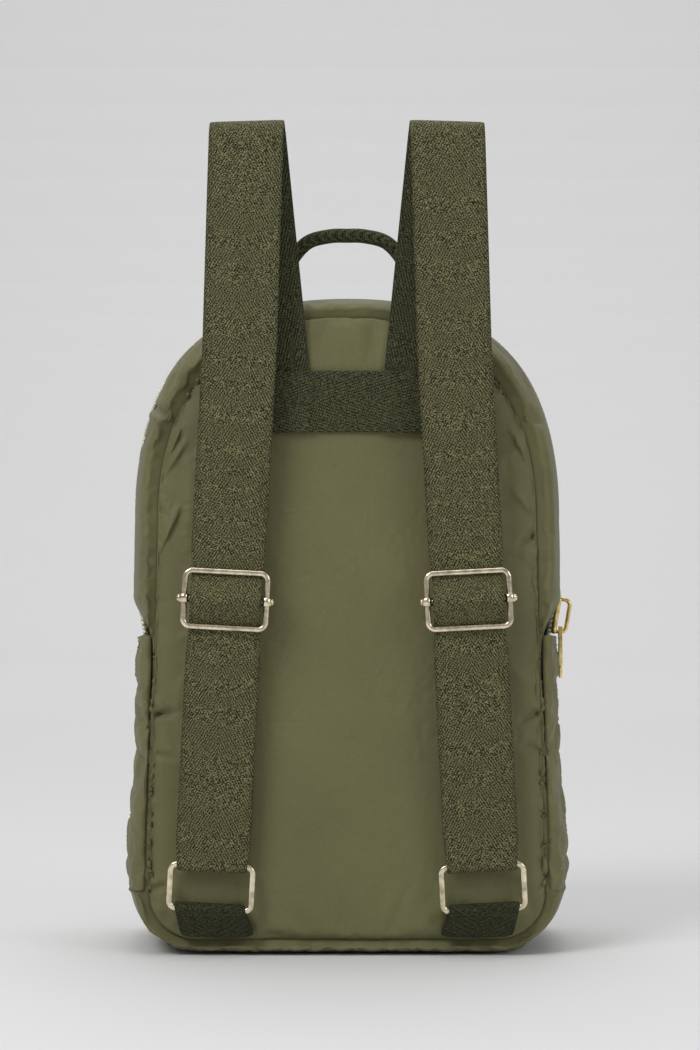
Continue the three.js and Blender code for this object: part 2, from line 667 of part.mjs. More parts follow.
// One webbing: from under the yoke up to the fold, down through the buckle to the ring,
// and back up behind itself to the buckle's bar. The run is 0 on the way up and 1 on the way down.
function shoulderStrap(side) {
  const strapFoot = BACK_FACE - SEAM_GAP - HALF_WEB;
  const fold = { y: strapFoot - FOLD_STAND - FOLD_RADIUS, z: STRAP_TOP - FOLD_RADIUS - HALF_WEB };
  const bar = (up) => ({ y: BUCKLE_PLANE, z: BUCKLE_CENTRE + up * BAR_OFFSET });
  const barWrap = BAR_RADIUS + SEAM_GAP + HALF_WEB;
  const wide = { width: WEB_WIDTH, run: 0 };
  const narrow = { width: WEB_GATHERED, run: 1 };
  const turns = [
    { y: strapFoot, z: YOKE_TOP - STRAP_UNDER_YOKE, radius: 0, sense: 1, ...wide },
    { y: strapFoot, z: YOKE_TOP + YOKE_CLEARANCE, radius: 0, sense: 1, ...wide },
    { ...fold, radius: FOLD_RADIUS, sense: 1, ...wide, change: 1 },
    { ...bar(1), radius: WRAP_RADIUS, sense: -1, ...narrow },
    { ...bar(0), radius: barWrap + LAYER_PITCH, sense: 1, ...narrow },
    { ...bar(-1), radius: WRAP_RADIUS, sense: -1, ...narrow },
    { ...ringBar(1), radius: WRAP_RADIUS, sense: 1, ...narrow },
    { ...bar(-1), radius: WRAP_RADIUS + LAYER_PITCH, sense: 1, ...narrow },
    { ...bar(0), radius: barWrap, sense: 1, width: loopWidth, run: 1, lastSweep: LOOP_SWEEP },
  ];
  const spread = STRAP_POINTS[0].across - STRAP_FOOT_ACROSS;
  const innerLean = -Math.atan(spread / (STRAP_TOP - YOKE_TOP));
  const placed = withStraights(webbingPath(turns)).map((s) => {
    const rising = Math.max(0, (s.z - YOKE_TOP) / (STRAP_TOP - YOKE_TOP));
    const line = strapLineAt(s.z);
    const across = lerp(STRAP_FOOT_ACROSS + spread * rising, line.across, s.run);
    return { ...s, x: side * across, lean: side * lerp(innerLean, line.lean, s.run) };
  });
  return ribbon(placed, WEB_THICKNESS);
}

// A tab is folded over the ring's lower bar, and both its ends are sewn into the bottom seam
function ringTab(side) {
  const bar = ringBar(-1);
  const line = strapLineAt(bar.z);
  const rear = { y: REAR_SEAM - TAB_FOOT_STAND, z: TAB_FOOT_HEIGHT };
  const turns = [
    { ...rear, radius: 0, sense: -1, width: WEB_WIDTH, run: 0 },
    { ...bar, radius: WRAP_RADIUS, sense: 1, width: WEB_GATHERED, run: 0 },
    { y: rear.y - LAYER_PITCH, z: rear.z, radius: 0, sense: -1, width: WEB_WIDTH, run: 0 },
  ];
  const placed = webbingPath(turns).map((s) => {
    const fall = THREE.MathUtils.clamp((bar.z - s.z) / (bar.z - rear.z), 0, 1);
    return { ...s, x: side * (line.across - TAB_FOOT_SHIFT * fall), lean: side * line.lean * (1 - fall) };
  });
  return ribbon(placed, WEB_THICKNESS);
}

// The yoke lies on the back panel and over the sewn ends of the straps
function yoke() {
  const edge = WEB_WIDTH / 2 + YOKE_STEP;
  const [near, far] = [STRAP_FOOT_ACROSS - edge, STRAP_FOOT_ACROSS + edge];
  const half = YOKE_WIDTH / 2;
  const right = [near, near + YOKE_STEP, far - YOKE_STEP, far, half];
  const places = [...right.map((x) => -x).reverse(), 0, ...right];
  const onPanel = BACK_FACE - SEAM_GAP;
  const onStraps = onPanel - WEB_THICKNESS - SEAM_GAP;
  const covers = (x) => Math.abs(x) > near + YOKE_STEP / 2 && Math.abs(x) < far - YOKE_STEP / 2;
  const face = (thickness) => places.map((x) => [YOKE_BOTTOM, YOKE_TOP].map((z) => {
    const rise = z === YOKE_BOTTOM ? YOKE_RISE * (1 - (x / half) ** 2) : 0;
    return point(x, (covers(x) ? onStraps : onPanel) - thickness, z + rise);
  }));
  return sheetSolid(face(YOKE_THICKNESS), face(0));
}

// Metal

function roundedRectangle(path, width, height, radius) {
  const [x, y] = [width / 2, height / 2];
  path.moveTo(-x + radius, -y);
  path.lineTo(x - radius, -y);
  path.absarc(x - radius, -y + radius, radius, -Math.PI / 2, 0, false);
  path.lineTo(x, y - radius);
  path.absarc(x - radius, y - radius, radius, 0, Math.PI / 2, false);
  path.lineTo(-x + radius, y);
  path.absarc(-x + radius, y - radius, radius, Math.PI / 2, Math.PI, false);
  path.lineTo(-x, -y + radius);
  path.absarc(-x + radius, -y + radius, radius, Math.PI, 1.5 * Math.PI, false);
  return path;
}

function bevelled(shape, depth, bevel, curveSegments) {
  const geometry = new THREE.ExtrudeGeometry(shape, {
    depth: depth - 2 * bevel,
    bevelThickness: bevel,
    bevelSize: bevel,
    bevelOffset: -bevel,
    bevelSegments: 1,
    curveSegments,
    steps: 1,
  });
  geometry.translate(0, 0, bevel - depth / 2);
  return geometry;
}

function wireFrame(height, cornerRadius) {
  const width = METAL_INNER_WIDTH + 2 * WIRE_WIDTH;
  const shape = roundedRectangle(new THREE.Shape(), width, height, cornerRadius);
  const innerHeight = height - 2 * WIRE_WIDTH;
  const innerRadius = cornerRadius - WIRE_WIDTH;
  shape.holes.push(roundedRectangle(new THREE.Path(), METAL_INNER_WIDTH, innerHeight, innerRadius));
  return bevelled(shape, WIRE_DEPTH, WIRE_BEVEL, 4).rotateX(Math.PI / 2);
}

// The buckle's bar, with a sleeve at each end round the side of the frame
function buckleBar() {
  const wire = (METAL_INNER_WIDTH + WIRE_WIDTH) / 2;
  const rod = new THREE.CylinderGeometry(BAR_RADIUS, BAR_RADIUS, 2 * wire, BAR_SIDES).rotateZ(Math.PI / 2);
  let solid = toManifold(rod);
  for (const side of [-1, 1]) {
    const upright = (radius, length) => toManifold(
      new THREE.CylinderGeometry(radius, radius, length, SLEEVE_SIDES)
        .rotateX(Math.PI / 2)
        .translate(side * wire, 0, 0),
    );
    solid = solid
      .add(upright(sleeveReach, SLEEVE_LENGTH))
      .subtract(upright(SLEEVE_BORE, 2 * SLEEVE_LENGTH));
  }
  return fromManifold(solid);
}

// Carry handle

function carryHandle() {
  const place = HANDLE_PLACE;
  const radius = HANDLE_THICKNESS / 2;
  const inward = (HANDLE_HALF_SPAN - radius) / SHOULDER_HALF;
  const shoulder = archStation(Math.acos(Math.pow(inward, ARCH_FULLNESS / 2)));
  const foot = shoulder.z + bulgeAt(shoulder) * crown(place) + SEAM_GAP;
  const y = lerp(REAR_SEAM, frontSeamAt(foot), place);
  const rise = HANDLE_TOP - foot;
  const right = HANDLE_SHAPE.map((row) => point(HANDLE_HALF_SPAN * row.across, y, foot + rise * row.up));
  const left = right.map((p) => point(-p.x, p.y, p.z)).reverse();
  const places = [...right, point(0, y, HANDLE_TOP), ...left];
  const path = new THREE.CatmullRomCurve3(places, false, 'centripetal');
  const section = new THREE.Shape(steps(0, 2 * Math.PI, HANDLE_SIDES).slice(0, -1).map((angle) => (
    new THREE.Vector2(radius * Math.cos(angle), radius * Math.sin(angle))
  )));
  return new THREE.ExtrudeGeometry(section, { steps: HANDLE_STEPS, extrudePath: path, bevelEnabled: false });
}

// Zip slider and pull, on the right-hand side of the bag

function sliderFrame() {
  const reach = SLIDER_LENGTH / 2;
  const top = TEETH_HEIGHT + SEAM_GAP + SLIDER_GAP;
  const [low, high] = [SLIDER_HEIGHT - reach, SLIDER_HEIGHT + reach].map((height) => {
    const station = sideStation(height);
    return gussetPoint(station, 0.5, tapeOffset(station) + top);
  });
  const middle = low.clone().add(high).divideScalar(2);
  const tilt = Math.atan2(high.x - low.x, high.z - low.z);
  return { middle, tilt };
}

const holeLow = -SLIDER_LENGTH / 2 + BRIDGE_METAL;
const holeHigh = SLIDER_LENGTH / 2 - BRIDGE_FOOT;
const holeOut = SLIDER_RISE - BRIDGE_METAL;
const pivotAlong = holeLow + (PULL_THICKNESS / 2) * Math.SQRT2 + SLIDING_GAP;
const pivotOut = (SLIDER_PLATE + holeOut) / 2;

function zipSlider() {
  const plateShape = roundedRectangle(new THREE.Shape(), SLIDER_WIDTH, SLIDER_LENGTH, SLIDER_CORNER);
  const plate = bevelled(plateShape, SLIDER_PLATE, SLIDER_BEVEL, 3)
    .rotateX(Math.PI / 2)
    .rotateZ(Math.PI / 2)
    .translate(SLIDER_PLATE / 2, 0, 0);
  const bridgeLength = SLIDER_LENGTH - 2 * BRIDGE_INSET;
  const bridgeRise = SLIDER_RISE + BRIDGE_SUNK;
  const bridgeShape = roundedRectangle(new THREE.Shape(), bridgeRise, bridgeLength, BRIDGE_CORNER);
  const bridgeMiddle = (SLIDER_RISE - BRIDGE_SUNK) / 2;
  const hole = new THREE.Path();
  const [nearX, farX] = [SLIDER_PLATE - bridgeMiddle, holeOut - bridgeMiddle];
  hole.moveTo(nearX, holeLow);
  hole.lineTo(nearX, holeHigh);
  hole.lineTo(farX, holeHigh);
  hole.lineTo(farX, holeLow);
  bridgeShape.holes.push(hole);
  const bridge = bevelled(bridgeShape, BRIDGE_WIDTH, BRIDGE_BEVEL, 3)
    .rotateX(Math.PI / 2)
    .translate(bridgeMiddle, 0, 0);
  const below = new THREE.BoxGeometry(SLIDER_RISE, SLIDER_WIDTH * 2, SLIDER_LENGTH * 2)
    .translate(-SLIDER_RISE / 2, 0, 0);
  return fromManifold(toManifold(plate).add(toManifold(bridge)).subtract(toManifold(below)));
}

function zipPull() {
  const [half, tip] = [PULL_WIDTH / 2, PULL_TIP_WIDTH / 2];
  const top = PULL_THICKNESS / 2;
  const shape = new THREE.Shape();
  shape.moveTo(-half, top);
  shape.lineTo(-half, -PULL_LENGTH + PULL_CORNER);
  shape.lineTo(-half + PULL_CORNER, -PULL_LENGTH);
  shape.lineTo(-tip, -PULL_LENGTH);
  shape.lineTo(-tip, -PULL_LENGTH - PULL_TIP_LENGTH);
  shape.lineTo(tip, -PULL_LENGTH - PULL_TIP_LENGTH);
  shape.lineTo(tip, -PULL_LENGTH);
  shape.lineTo(half - PULL_CORNER, -PULL_LENGTH);
  shape.lineTo(half, -PULL_LENGTH + PULL_CORNER);
  shape.lineTo(half, top);
  const side = BRIDGE_WIDTH / 2 + SLIDING_GAP;
  const window = new THREE.Path();
  window.moveTo(-side, -top);
  window.lineTo(-side, -PULL_WINDOW);
  window.lineTo(side, -PULL_WINDOW);
  window.lineTo(side, -top);
  shape.holes.push(window);
  return bevelled(shape, PULL_THICKNESS, PULL_BEVEL, 2).rotateX(Math.PI / 2).rotateZ(Math.PI / 2);
}

// The pivot of the pull, in the bag's own frame
function pullPivot() {
  const { middle, tilt } = sliderFrame();
  return point(
    middle.x + pivotOut * Math.cos(tilt) + pivotAlong * Math.sin(tilt),
    middle.y,
    middle.z - pivotOut * Math.sin(tilt) + pivotAlong * Math.cos(tilt),
  );
}

// Assembly

const bag = new THREE.Group();

bag.add(makeMesh('back_panel', backPanel(), NYLON));
bag.add(makeMesh('front_panel', frontPanel(), NYLON));
bag.add(makeMesh('lower_gusset', lowerGusset(), NYLON));
bag.add(makeMesh('zip_strip_rear', zipStrip(-1), NYLON));
bag.add(makeMesh('zip_strip_front', zipStrip(1), NYLON));

const tapeWidth = ZIP_GAP - 2 * SEAM_GAP;
bag.add(makeMesh('zip_tape', alongZip(tapeWidth, -TAPE_THICKNESS, 0), ZIP_TAPE_CLOTH));
bag.add(makeMesh('zip_teeth', alongZip(TEETH_WIDTH, SEAM_GAP, SEAM_GAP + TEETH_HEIGHT), BRIGHT_GOLD));

const zipHardware = new THREE.Group();
const { middle: sliderMiddle, tilt: sliderTilt } = sliderFrame();
const slider = makeMesh('zip_slider', zipSlider(), BRIGHT_GOLD);
slider.position.copy(sliderMiddle);
slider.rotation.y = sliderTilt;
const pull = makeMesh('zip_pull', zipPull(), BRIGHT_GOLD);
pull.position.copy(pullPivot());
zipHardware.add(slider, pull);
bag.add(zipHardware);

bag.add(makeMesh('yoke', yoke(), WEBBING));
bag.add(makeMesh('carry_handle', carryHandle(), WEBBING));

for (const { side, name } of [{ side: -1, name: 'left' }, { side: 1, name: 'right' }]) {
  bag.add(makeMesh(`side_pocket_${name}`, sidePocket(side), NYLON));
  bag.add(makeMesh(`shoulder_strap_${name}`, shoulderStrap(side), WEBBING));
  bag.add(makeMesh(`ring_tab_${name}`, ringTab(side), WEBBING));

  const buckleLine = strapLineAt(BUCKLE_CENTRE);
  const buckle = new THREE.Group();
  buckle.position.set(side * buckleLine.across, BUCKLE_PLANE, BUCKLE_CENTRE);
  buckle.rotation.y = -side * buckleLine.lean;
  buckle.add(makeMesh(`buckle_frame_${name}`, wireFrame(BUCKLE_HEIGHT, BUCKLE_CORNER), PALE_GOLD));
  buckle.add(makeMesh(`buckle_bar_${name}`, buckleBar(), PALE_GOLD));
  bag.add(buckle);

  const ringLine = strapLineAt(RING_CENTRE);
  const ring = makeMesh(`ring_${name}`, wireFrame(RING_HEIGHT, RING_CORNER), PALE_GOLD);
  ring.position.set(side * ringLine.across, RING_PLANE, RING_CENTRE);
  ring.rotation.set(THREE.MathUtils.degToRad(RING_LEAN), -side * ringLine.lean, 0, 'YXZ');
  bag.add(ring);
}

export default bag;
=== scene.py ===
"""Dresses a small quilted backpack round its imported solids, in cloth, webbing and metal.

Lengths are in metres. X runs across the bag, Y from the side that lies on the wearer's back
to the quilted side, and Z up. The floor is at Z 0.
"""
import json
import logging
import math
from bisect import bisect_right
from dataclasses import dataclass, field, replace
from enum import Enum
from functools import cached_property
from typing import Callable, Sequence

import bmesh
import bpy
from mathutils import Matrix, Vector, noise
from mathutils.kdtree import KDTree


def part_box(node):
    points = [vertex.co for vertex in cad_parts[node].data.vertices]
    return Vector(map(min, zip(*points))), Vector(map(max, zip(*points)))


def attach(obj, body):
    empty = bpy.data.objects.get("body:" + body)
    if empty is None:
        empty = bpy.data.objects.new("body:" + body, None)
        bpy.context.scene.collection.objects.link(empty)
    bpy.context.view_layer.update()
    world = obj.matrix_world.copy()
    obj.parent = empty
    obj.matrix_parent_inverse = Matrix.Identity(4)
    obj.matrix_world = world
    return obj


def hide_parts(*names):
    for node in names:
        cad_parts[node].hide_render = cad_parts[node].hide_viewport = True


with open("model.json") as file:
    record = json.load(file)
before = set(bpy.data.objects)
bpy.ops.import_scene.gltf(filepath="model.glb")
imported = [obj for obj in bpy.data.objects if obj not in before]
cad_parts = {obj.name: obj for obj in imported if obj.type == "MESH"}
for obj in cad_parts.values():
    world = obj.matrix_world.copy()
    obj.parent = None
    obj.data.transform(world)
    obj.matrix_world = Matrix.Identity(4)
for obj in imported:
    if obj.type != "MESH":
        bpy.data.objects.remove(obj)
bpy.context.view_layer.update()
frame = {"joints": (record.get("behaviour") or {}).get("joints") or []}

LOG = logging.getLogger("backpack")
UV_NAME = "cloth"
SEWN = "sewn"
GROOVE = "groove"

Colour = tuple[float, float, float]
Mesh = bmesh.types.BMesh


class Body(Enum):
    """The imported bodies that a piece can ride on."""

    BAG = "bag"
    PULL = "zip_pull"


class Slot(Enum):
    """The record's material slots."""

    SMOOTH_NYLON = "smooth_nylon"
    QUILTED_NYLON = "quilted_nylon"
    WEBBING = "webbing"
    ZIP_TAPE = "zip_tape"
    PALE_GOLD = "pale_gold"
    ZIP_METAL = "zip_metal"


class Side(Enum):
    """The two sides of the bag, as they are seen from the wearer's back."""

    LEFT = -1
    RIGHT = 1

    @property
    def label(self) -> str:
        """The side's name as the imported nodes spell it."""
        return self.name.lower()


def lerp(start: float, end: float, share: float) -> float:
    """A value between two others, by share."""
    return start + (end - start) * share


def clamp(value: float, low: float = 0.0, high: float = 1.0) -> float:
    """A value kept between two limits."""
    return max(low, min(high, value))


def smoothstep(value: float, start: float, end: float) -> float:
    """Rises smoothly from 0 at start to 1 at end."""
    share = clamp((value - start) / (end - start))
    return share * share * (3 - 2 * share)


def srgb(red: int, green: int, blue: int) -> Colour:
    """A display colour as the linear colour that shaders take."""
    return tuple(
        c / 12.92 if c <= 0.04045 else ((c + 0.055) / 1.055) ** 2.4
        for c in (red / 255, green / 255, blue / 255)
    )


# Shader graphs


class Value:
    """A number socket of a shader, which arithmetic extends with Math nodes."""

    def __init__(self, graph: "Graph", socket: bpy.types.NodeSocket) -> None:
        """Keeps the socket and the graph that it belongs to."""
        self.graph = graph
        self.socket = socket

    def __add__(self, other: "Value | float") -> "Value":
        """Sum."""
        return self.graph.maths("ADD", self, other)

    def __radd__(self, other: float) -> "Value":
        """Sum with a number on the left."""
        return self.graph.maths("ADD", other, self)

    def __sub__(self, other: "Value | float") -> "Value":
        """Difference."""
        return self.graph.maths("SUBTRACT", self, other)

    def __rsub__(self, other: float) -> "Value":
        """Difference from a number on the left."""
        return self.graph.maths("SUBTRACT", other, self)

    def __mul__(self, other: "Value | float") -> "Value":
        """Product."""
        return self.graph.maths("MULTIPLY", self, other)

    def __rmul__(self, other: float) -> "Value":
        """Product with a number on the left."""
        return self.graph.maths("MULTIPLY", other, self)

    def __truediv__(self, other: "Value | float") -> "Value":
        """Quotient."""
        return self.graph.maths("DIVIDE", self, other)

    def __pow__(self, other: float) -> "Value":
        """Power."""
        return self.graph.maths("POWER", self, other)

    def __abs__(self) -> "Value":
        """Size without its sign."""
        return self.graph.maths("ABSOLUTE", self)

    def fraction(self) -> "Value":
        """The part after the decimal point."""
        return self.graph.maths("FRACT", self)

    def floor(self) -> "Value":
        """The whole number below."""
        return self.graph.maths("FLOOR", self)

    def clamped(self) -> "Value":
        """The value kept between 0 and 1."""
        return self.graph.maths("ADD", self, 0.0, clamp=True)

    def wave(self) -> "Value":
        """A ridge that rises and falls evenly, once for each whole number."""
        return 1 - abs(self.fraction() * 2 - 1)


class Graph:
    """The node graph of one surface finish."""

    def __init__(self, name: str, fixed: dict[str, object]) -> None:
        """Makes the material and its shader.

        Args:
            name: The material's name.
            fixed: Values for the shader's own sockets, the same all over the surface.
        """
        self.material = bpy.data.materials.new(name)
        self.material.use_nodes = True
        self.tree = self.material.node_tree
        self.shader = self.tree.nodes["Principled BSDF"]
        for socket, value in fixed.items():
            self.shader.inputs[socket].default_value = value

    def _feed(self, socket: bpy.types.NodeSocket, value: object) -> None:
        """Links or sets one socket."""
        if isinstance(value, Value):
            value = value.socket
        if isinstance(value, bpy.types.NodeSocket):
            self.tree.links.new(value, socket)
        elif isinstance(value, tuple) and len(value) == 3 and socket.type == "RGBA":
            socket.default_value = (*value, 1.0)
        else:
            socket.default_value = value

    def add(self, kind: str, settings: dict[str, object], sockets: dict[str | int, object]) -> bpy.types.Node:
        """Adds a node.

        Args:
            kind: The node's type.
            settings: Its own properties, which are set first.
            sockets: Values or links for its inputs, by name or place.

        Returns:
            The node.
        """
        node = self.tree.nodes.new(kind)
        for key, value in settings.items():
            setattr(node, key, value)
        for key, value in sockets.items():
            shown = [s for s in node.inputs if s.enabled]
            socket = node.inputs[key] if isinstance(key, int) else next(s for s in shown if s.name == key)
            self._feed(socket, value)
        return node

    def maths(self, operation: str, *terms: "Value | float", clamp: bool = False) -> Value:
        """Adds a Math node and returns its result."""
        settings = {"operation": operation, "use_clamp": clamp}
        return Value(self, self.add("ShaderNodeMath", settings, dict(enumerate(terms))).outputs[0])

    def mix(self, factor: Value, first: object, second: object) -> bpy.types.NodeSocket:
        """Mixes two colours."""
        sockets = {"Factor": factor, "A": first, "B": second}
        node = self.add("ShaderNodeMix", {"data_type": "RGBA"}, sockets)
        return next(s for s in node.outputs if s.enabled)

    @cached_property
    def place(self) -> bpy.types.NodeSocket:
        """Object coordinates."""
        return self.add("ShaderNodeTexCoord", {}, {}).outputs["Object"]

    @cached_property
    def cloth(self) -> tuple[Value, Value]:
        """The piece's own flat coordinates, across and along the cloth."""
        uv = self.add("ShaderNodeUVMap", {"uv_map": UV_NAME}, {})
        split = self.add("ShaderNodeSeparateXYZ", {}, {"Vector": uv.outputs[0]})
        return Value(self, split.outputs[0]), Value(self, split.outputs[1])

    def attribute(self, name: str) -> Value:
        """A number that the mesh keeps for each point."""
        node = self.add("ShaderNodeAttribute", {"attribute_name": name}, {})
        return Value(self, node.outputs["Fac"])

    def noise(self, size: float, detail: float = 2.0, stretch: Sequence[float] = (1, 1, 1)) -> Value:
        """Smooth noise whose features are of about the given size, in metres."""
        settings = {"vector_type": "POINT"}
        scale = tuple(1 / (size * s) for s in stretch)
        mapping = self.add("ShaderNodeMapping", settings, {"Vector": self.place, "Scale": scale})
        sockets = {"Vector": mapping.outputs[0], "Scale": 1.0, "Detail": detail}
        return Value(self, self.add("ShaderNodeTexNoise", {}, sockets).outputs[0])

    def bump(
        self, height: Value, depth: float, strength: float, under: object = None
    ) -> bpy.types.NodeSocket:
        """Adds relief.

        Args:
            height: The relief, from 0 to 1.
            depth: Its full height in metres.
            strength: How strongly it shows.
            under: Another relief that it lies on.

        Returns:
            The socket with the turned normal.
        """
        sockets = {"Height": height, "Distance": depth, "Strength": strength}
        if under is not None:
            sockets["Normal"] = under
        return self.add("ShaderNodeBump", {}, sockets).outputs[0]

    def finish(self, **sockets: object) -> bpy.types.Material:
        """Feeds the shader's varying sockets, whose spaces are written as underscores."""
        for key, value in sockets.items():
            self._feed(self.shader.inputs[key.replace("_", " ")], value)
        return self.material


# Finishes


@dataclass(frozen=True)
class Nylon:
    """Smooth, faintly shiny bag cloth over thin padding."""

    name: str
    colour: Colour
    shade: Colour
    crumple: float = 0.35
    seam_shade: float = 0.6

    def material(self) -> bpy.types.Material:
        """Makes the cloth's material, with painted shade along its seams and stitched lines."""
        fixed = {"Sheen Weight": 0.08, "Sheen Roughness": 0.45, "Specular IOR Level": 0.3}
        graph = Graph(self.name, fixed)
        broad = graph.noise(0.06, 3.0)
        fine = graph.noise(0.0011, 2.0, (1, 1, 0.55))
        thread = graph.noise(0.00042, 1.0, (3.0, 3.0, 0.8))
        tone = (broad * 0.45 + fine * 0.4 + thread * 0.15 - 0.26) * 2.1
        groove = graph.attribute(GROOVE)
        base = graph.mix(tone.clamped(), self.shade, self.colour)
        # Painted shade: points in a seam or on a stitched line, by the groove layer, are darkened towards a
        # deep shade colour, as their shadow.
        deep = tuple(0.35 * c for c in self.shade)
        painted_seam_shade = graph.mix((groove ** 4.0) * self.seam_shade, base, deep)
        grain = graph.bump(fine * 0.6 + thread * 0.4, 0.00018, 0.35)
        soft = graph.bump(graph.noise(0.014, 3.0, (1, 1, 1.5)), 0.0011, self.crumple, grain)
        rough = 0.56 + broad * 0.12 - fine * 0.06
        return graph.finish(Base_Color=painted_seam_shade, Roughness=rough, Normal=soft)


@dataclass(frozen=True)
class Twill:
    """Webbing woven in a fine twill, whose slant turns over along the middle."""

    name: str
    light: Colour
    dark: Colour
    pitch: float = 0.0015
    rise: float = 0.0026
    yarn: float = 0.0012
    edge: float = 0.0188
    contrast: float = 1.7

    def material(self) -> bpy.types.Material:
        """Makes the webbing's material."""
        graph = Graph(self.name, {"Sheen Weight": 0.04, "Sheen Roughness": 0.5, "Specular IOR Level": 0.22})
        across, along = graph.cloth
        wobble = (graph.noise(0.0025, 2.0) - 0.5) * 0.1
        slant = abs(across) / self.pitch - along / self.rise + wobble
        ridge = slant.wave()
        step = (along / self.yarn + slant.floor() * 0.5).wave()
        speckle = graph.noise(0.00045, 0.0, (1.2, 1, 0.8))
        lit = (ridge ** 1.2) * (0.3 + step * 0.7)
        glint = ((speckle - 0.62) * 6.0).clamped()
        tone = ((lit * 0.6 + (speckle - 0.5) * 1.5 + glint * 0.4 - 0.02) * self.contrast).clamped()
        base = graph.mix(tone, self.dark, self.light)
        # Darker towards both edges of the webbing.
        selvedge = ((abs(across) / self.edge) ** 14.0).clamped()
        edge_darkened = graph.mix(selvedge * 0.45, base, self.dark)
        relief = graph.bump(lit, 0.00045, 0.75)
        rough = 0.78 - lit * 0.22
        return graph.finish(Base_Color=edge_darkened, Roughness=rough, Normal=relief)


@dataclass(frozen=True)
class Plated:
    """Polished plated metal."""

    name: str
    colour: Colour
    roughness: float

    def material(self) -> bpy.types.Material:
        """Makes the metal's material."""
        graph = Graph(self.name, {"Metallic": 1.0})
        haze = graph.noise(0.004, 3.0)
        scratch = graph.noise(0.0006, 2.0, (1, 1, 6))
        darker = tuple(0.5 * c for c in self.colour)
        base = graph.mix((haze * 3.0 - 0.8).clamped(), darker, self.colour)
        rough = self.roughness + haze * 0.1 + (scratch - 0.5) * 0.08
        return graph.finish(Base_Color=base, Roughness=rough, Normal=graph.bump(scratch, 0.00004, 0.3))


@dataclass(frozen=True)
class Thread:
    """Sewing thread, twisted from fine yarns."""

    name: str
    colour: Colour

    def material(self) -> bpy.types.Material:
        """Makes the thread's material."""
        graph = Graph(self.name, {"Sheen Weight": 0.1, "Specular IOR Level": 0.4})
        ply = graph.noise(0.0005, 2.0)
        darker = tuple(0.55 * c for c in self.colour)
        base = graph.mix(ply, darker, self.colour)
        return graph.finish(Base_Color=base, Roughness=0.6 + ply * 0.2, Normal=graph.bump(ply, 0.0001, 0.5))


@dataclass(frozen=True)
class TapeCloth:
    """The zip's woven tape."""

    name: str
    colour: Colour

    def material(self) -> bpy.types.Material:
        """Makes the tape's material."""
        graph = Graph(self.name, {"Sheen Weight": 0.1})
        across, along = graph.cloth
        ribs = (along / 0.0007).wave() * 0.6 + (across / 0.0009).wave() * 0.4
        darker = tuple(0.6 * c for c in self.colour)
        base = graph.mix((ribs * 0.7 + graph.noise(0.002) * 0.4).clamped(), darker, self.colour)
        relief = graph.bump(ribs, 0.0002, 0.5)
        return graph.finish(Base_Color=base, Roughness=0.85 - ribs * 0.1, Normal=relief)


SMOOTH = Nylon("olive_nylon", srgb(115, 113, 76), srgb(95, 94, 61))
QUILTED = Nylon("olive_quilted_nylon", srgb(119, 117, 79), srgb(95, 94, 60), 0.5)
WEB_FACE = Twill("twill_face", srgb(136, 133, 90), srgb(24, 25, 11))
# The webbing's reverse face, darker by its own weave, and partly painted shade: it is also darkened for the
# yoke and the straps' inner runs, which lie in the straps' shadow.
WEB_REVERSE_AND_SHADE = Twill("twill_reverse", srgb(97, 99, 64), srgb(20, 21, 8), rise=0.0046)
TAB_FACE = Twill("twill_tab", srgb(76, 78, 46), srgb(14, 15, 5), pitch=0.0022, rise=0.0011)
PALE_GOLD = Plated("pale_gold_plate", (0.90, 0.79, 0.58), 0.16)
ZIP_GOLD = Plated("yellow_gold_plate", (0.94, 0.72, 0.28), 0.2)
TOOTH_METAL = Plated("pale_tooth_metal", (0.80, 0.76, 0.62), 0.32)
OLIVE_THREAD = Thread("olive_thread", srgb(112, 112, 80))
DARK_THREAD = Thread("dark_thread", srgb(66, 66, 44))
TAPE = TapeCloth("olive_tape", srgb(92, 92, 64))


class Workshop:
    """Turns finished meshes into pieces that ride on the bag."""

    def __init__(self) -> None:
        """Starts with no materials made."""
        self._made: dict[str, bpy.types.Material] = {}

    def material(self, finish: object) -> bpy.types.Material:
        """The material of a finish, made once."""
        if finish.name not in self._made:
            self._made[finish.name] = finish.material()
        return self._made[finish.name]

    def piece(
        self,
        name: str,
        bm: Mesh,
        finishes: Sequence[object],
        slot: Slot,
        replaces: Sequence[str] = (),
        body: Body = Body.BAG,
    ) -> bpy.types.Object:
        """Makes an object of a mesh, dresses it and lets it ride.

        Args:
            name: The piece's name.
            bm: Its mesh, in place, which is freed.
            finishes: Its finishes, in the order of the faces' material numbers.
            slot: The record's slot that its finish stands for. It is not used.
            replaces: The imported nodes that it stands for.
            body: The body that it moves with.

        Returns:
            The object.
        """
        mesh = bpy.data.meshes.new(name)
        for face in bm.faces:
            face.smooth = True
        bm.to_mesh(mesh)
        bm.free()
        obj = bpy.data.objects.new(name, mesh)
        bpy.context.scene.collection.objects.link(obj)
        for finish in finishes:
            mesh.materials.append(self.material(finish))
        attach(obj, body.value)
        if replaces:
            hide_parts(*replaces)
        LOG.info("%s: %d faces", name, len(mesh.polygons))
        return obj


WORKSHOP = Workshop()


def smooth_out(obj: bpy.types.Object, levels: int = 1) -> None:
    """Adds a subdivision surface, the same in views and renders."""
    modifier = obj.modifiers.new("smooth", "SUBSURF")
    modifier.levels = levels
    modifier.render_levels = levels


def thicken(obj: bpy.types.Object, thickness: float) -> None:
    """Gives a sheet its thickness, towards the inside."""
    modifier = obj.modifiers.new("thickness", "SOLIDIFY")
    modifier.thickness = thickness
    modifier.offset = -1.0
    modifier.use_even_offset = False


def face_outwards(bm: Mesh, outward: Callable[[Vector], Vector]) -> None:
    """Turns a sheet's faces so that they look outwards on the whole."""
    bm.normal_update()
    total = sum(f.normal.dot(outward(f.calc_center_median())) * f.calc_area() for f in bm.faces)
    if total < 0:
        bmesh.ops.reverse_faces(bm, faces=bm.faces)


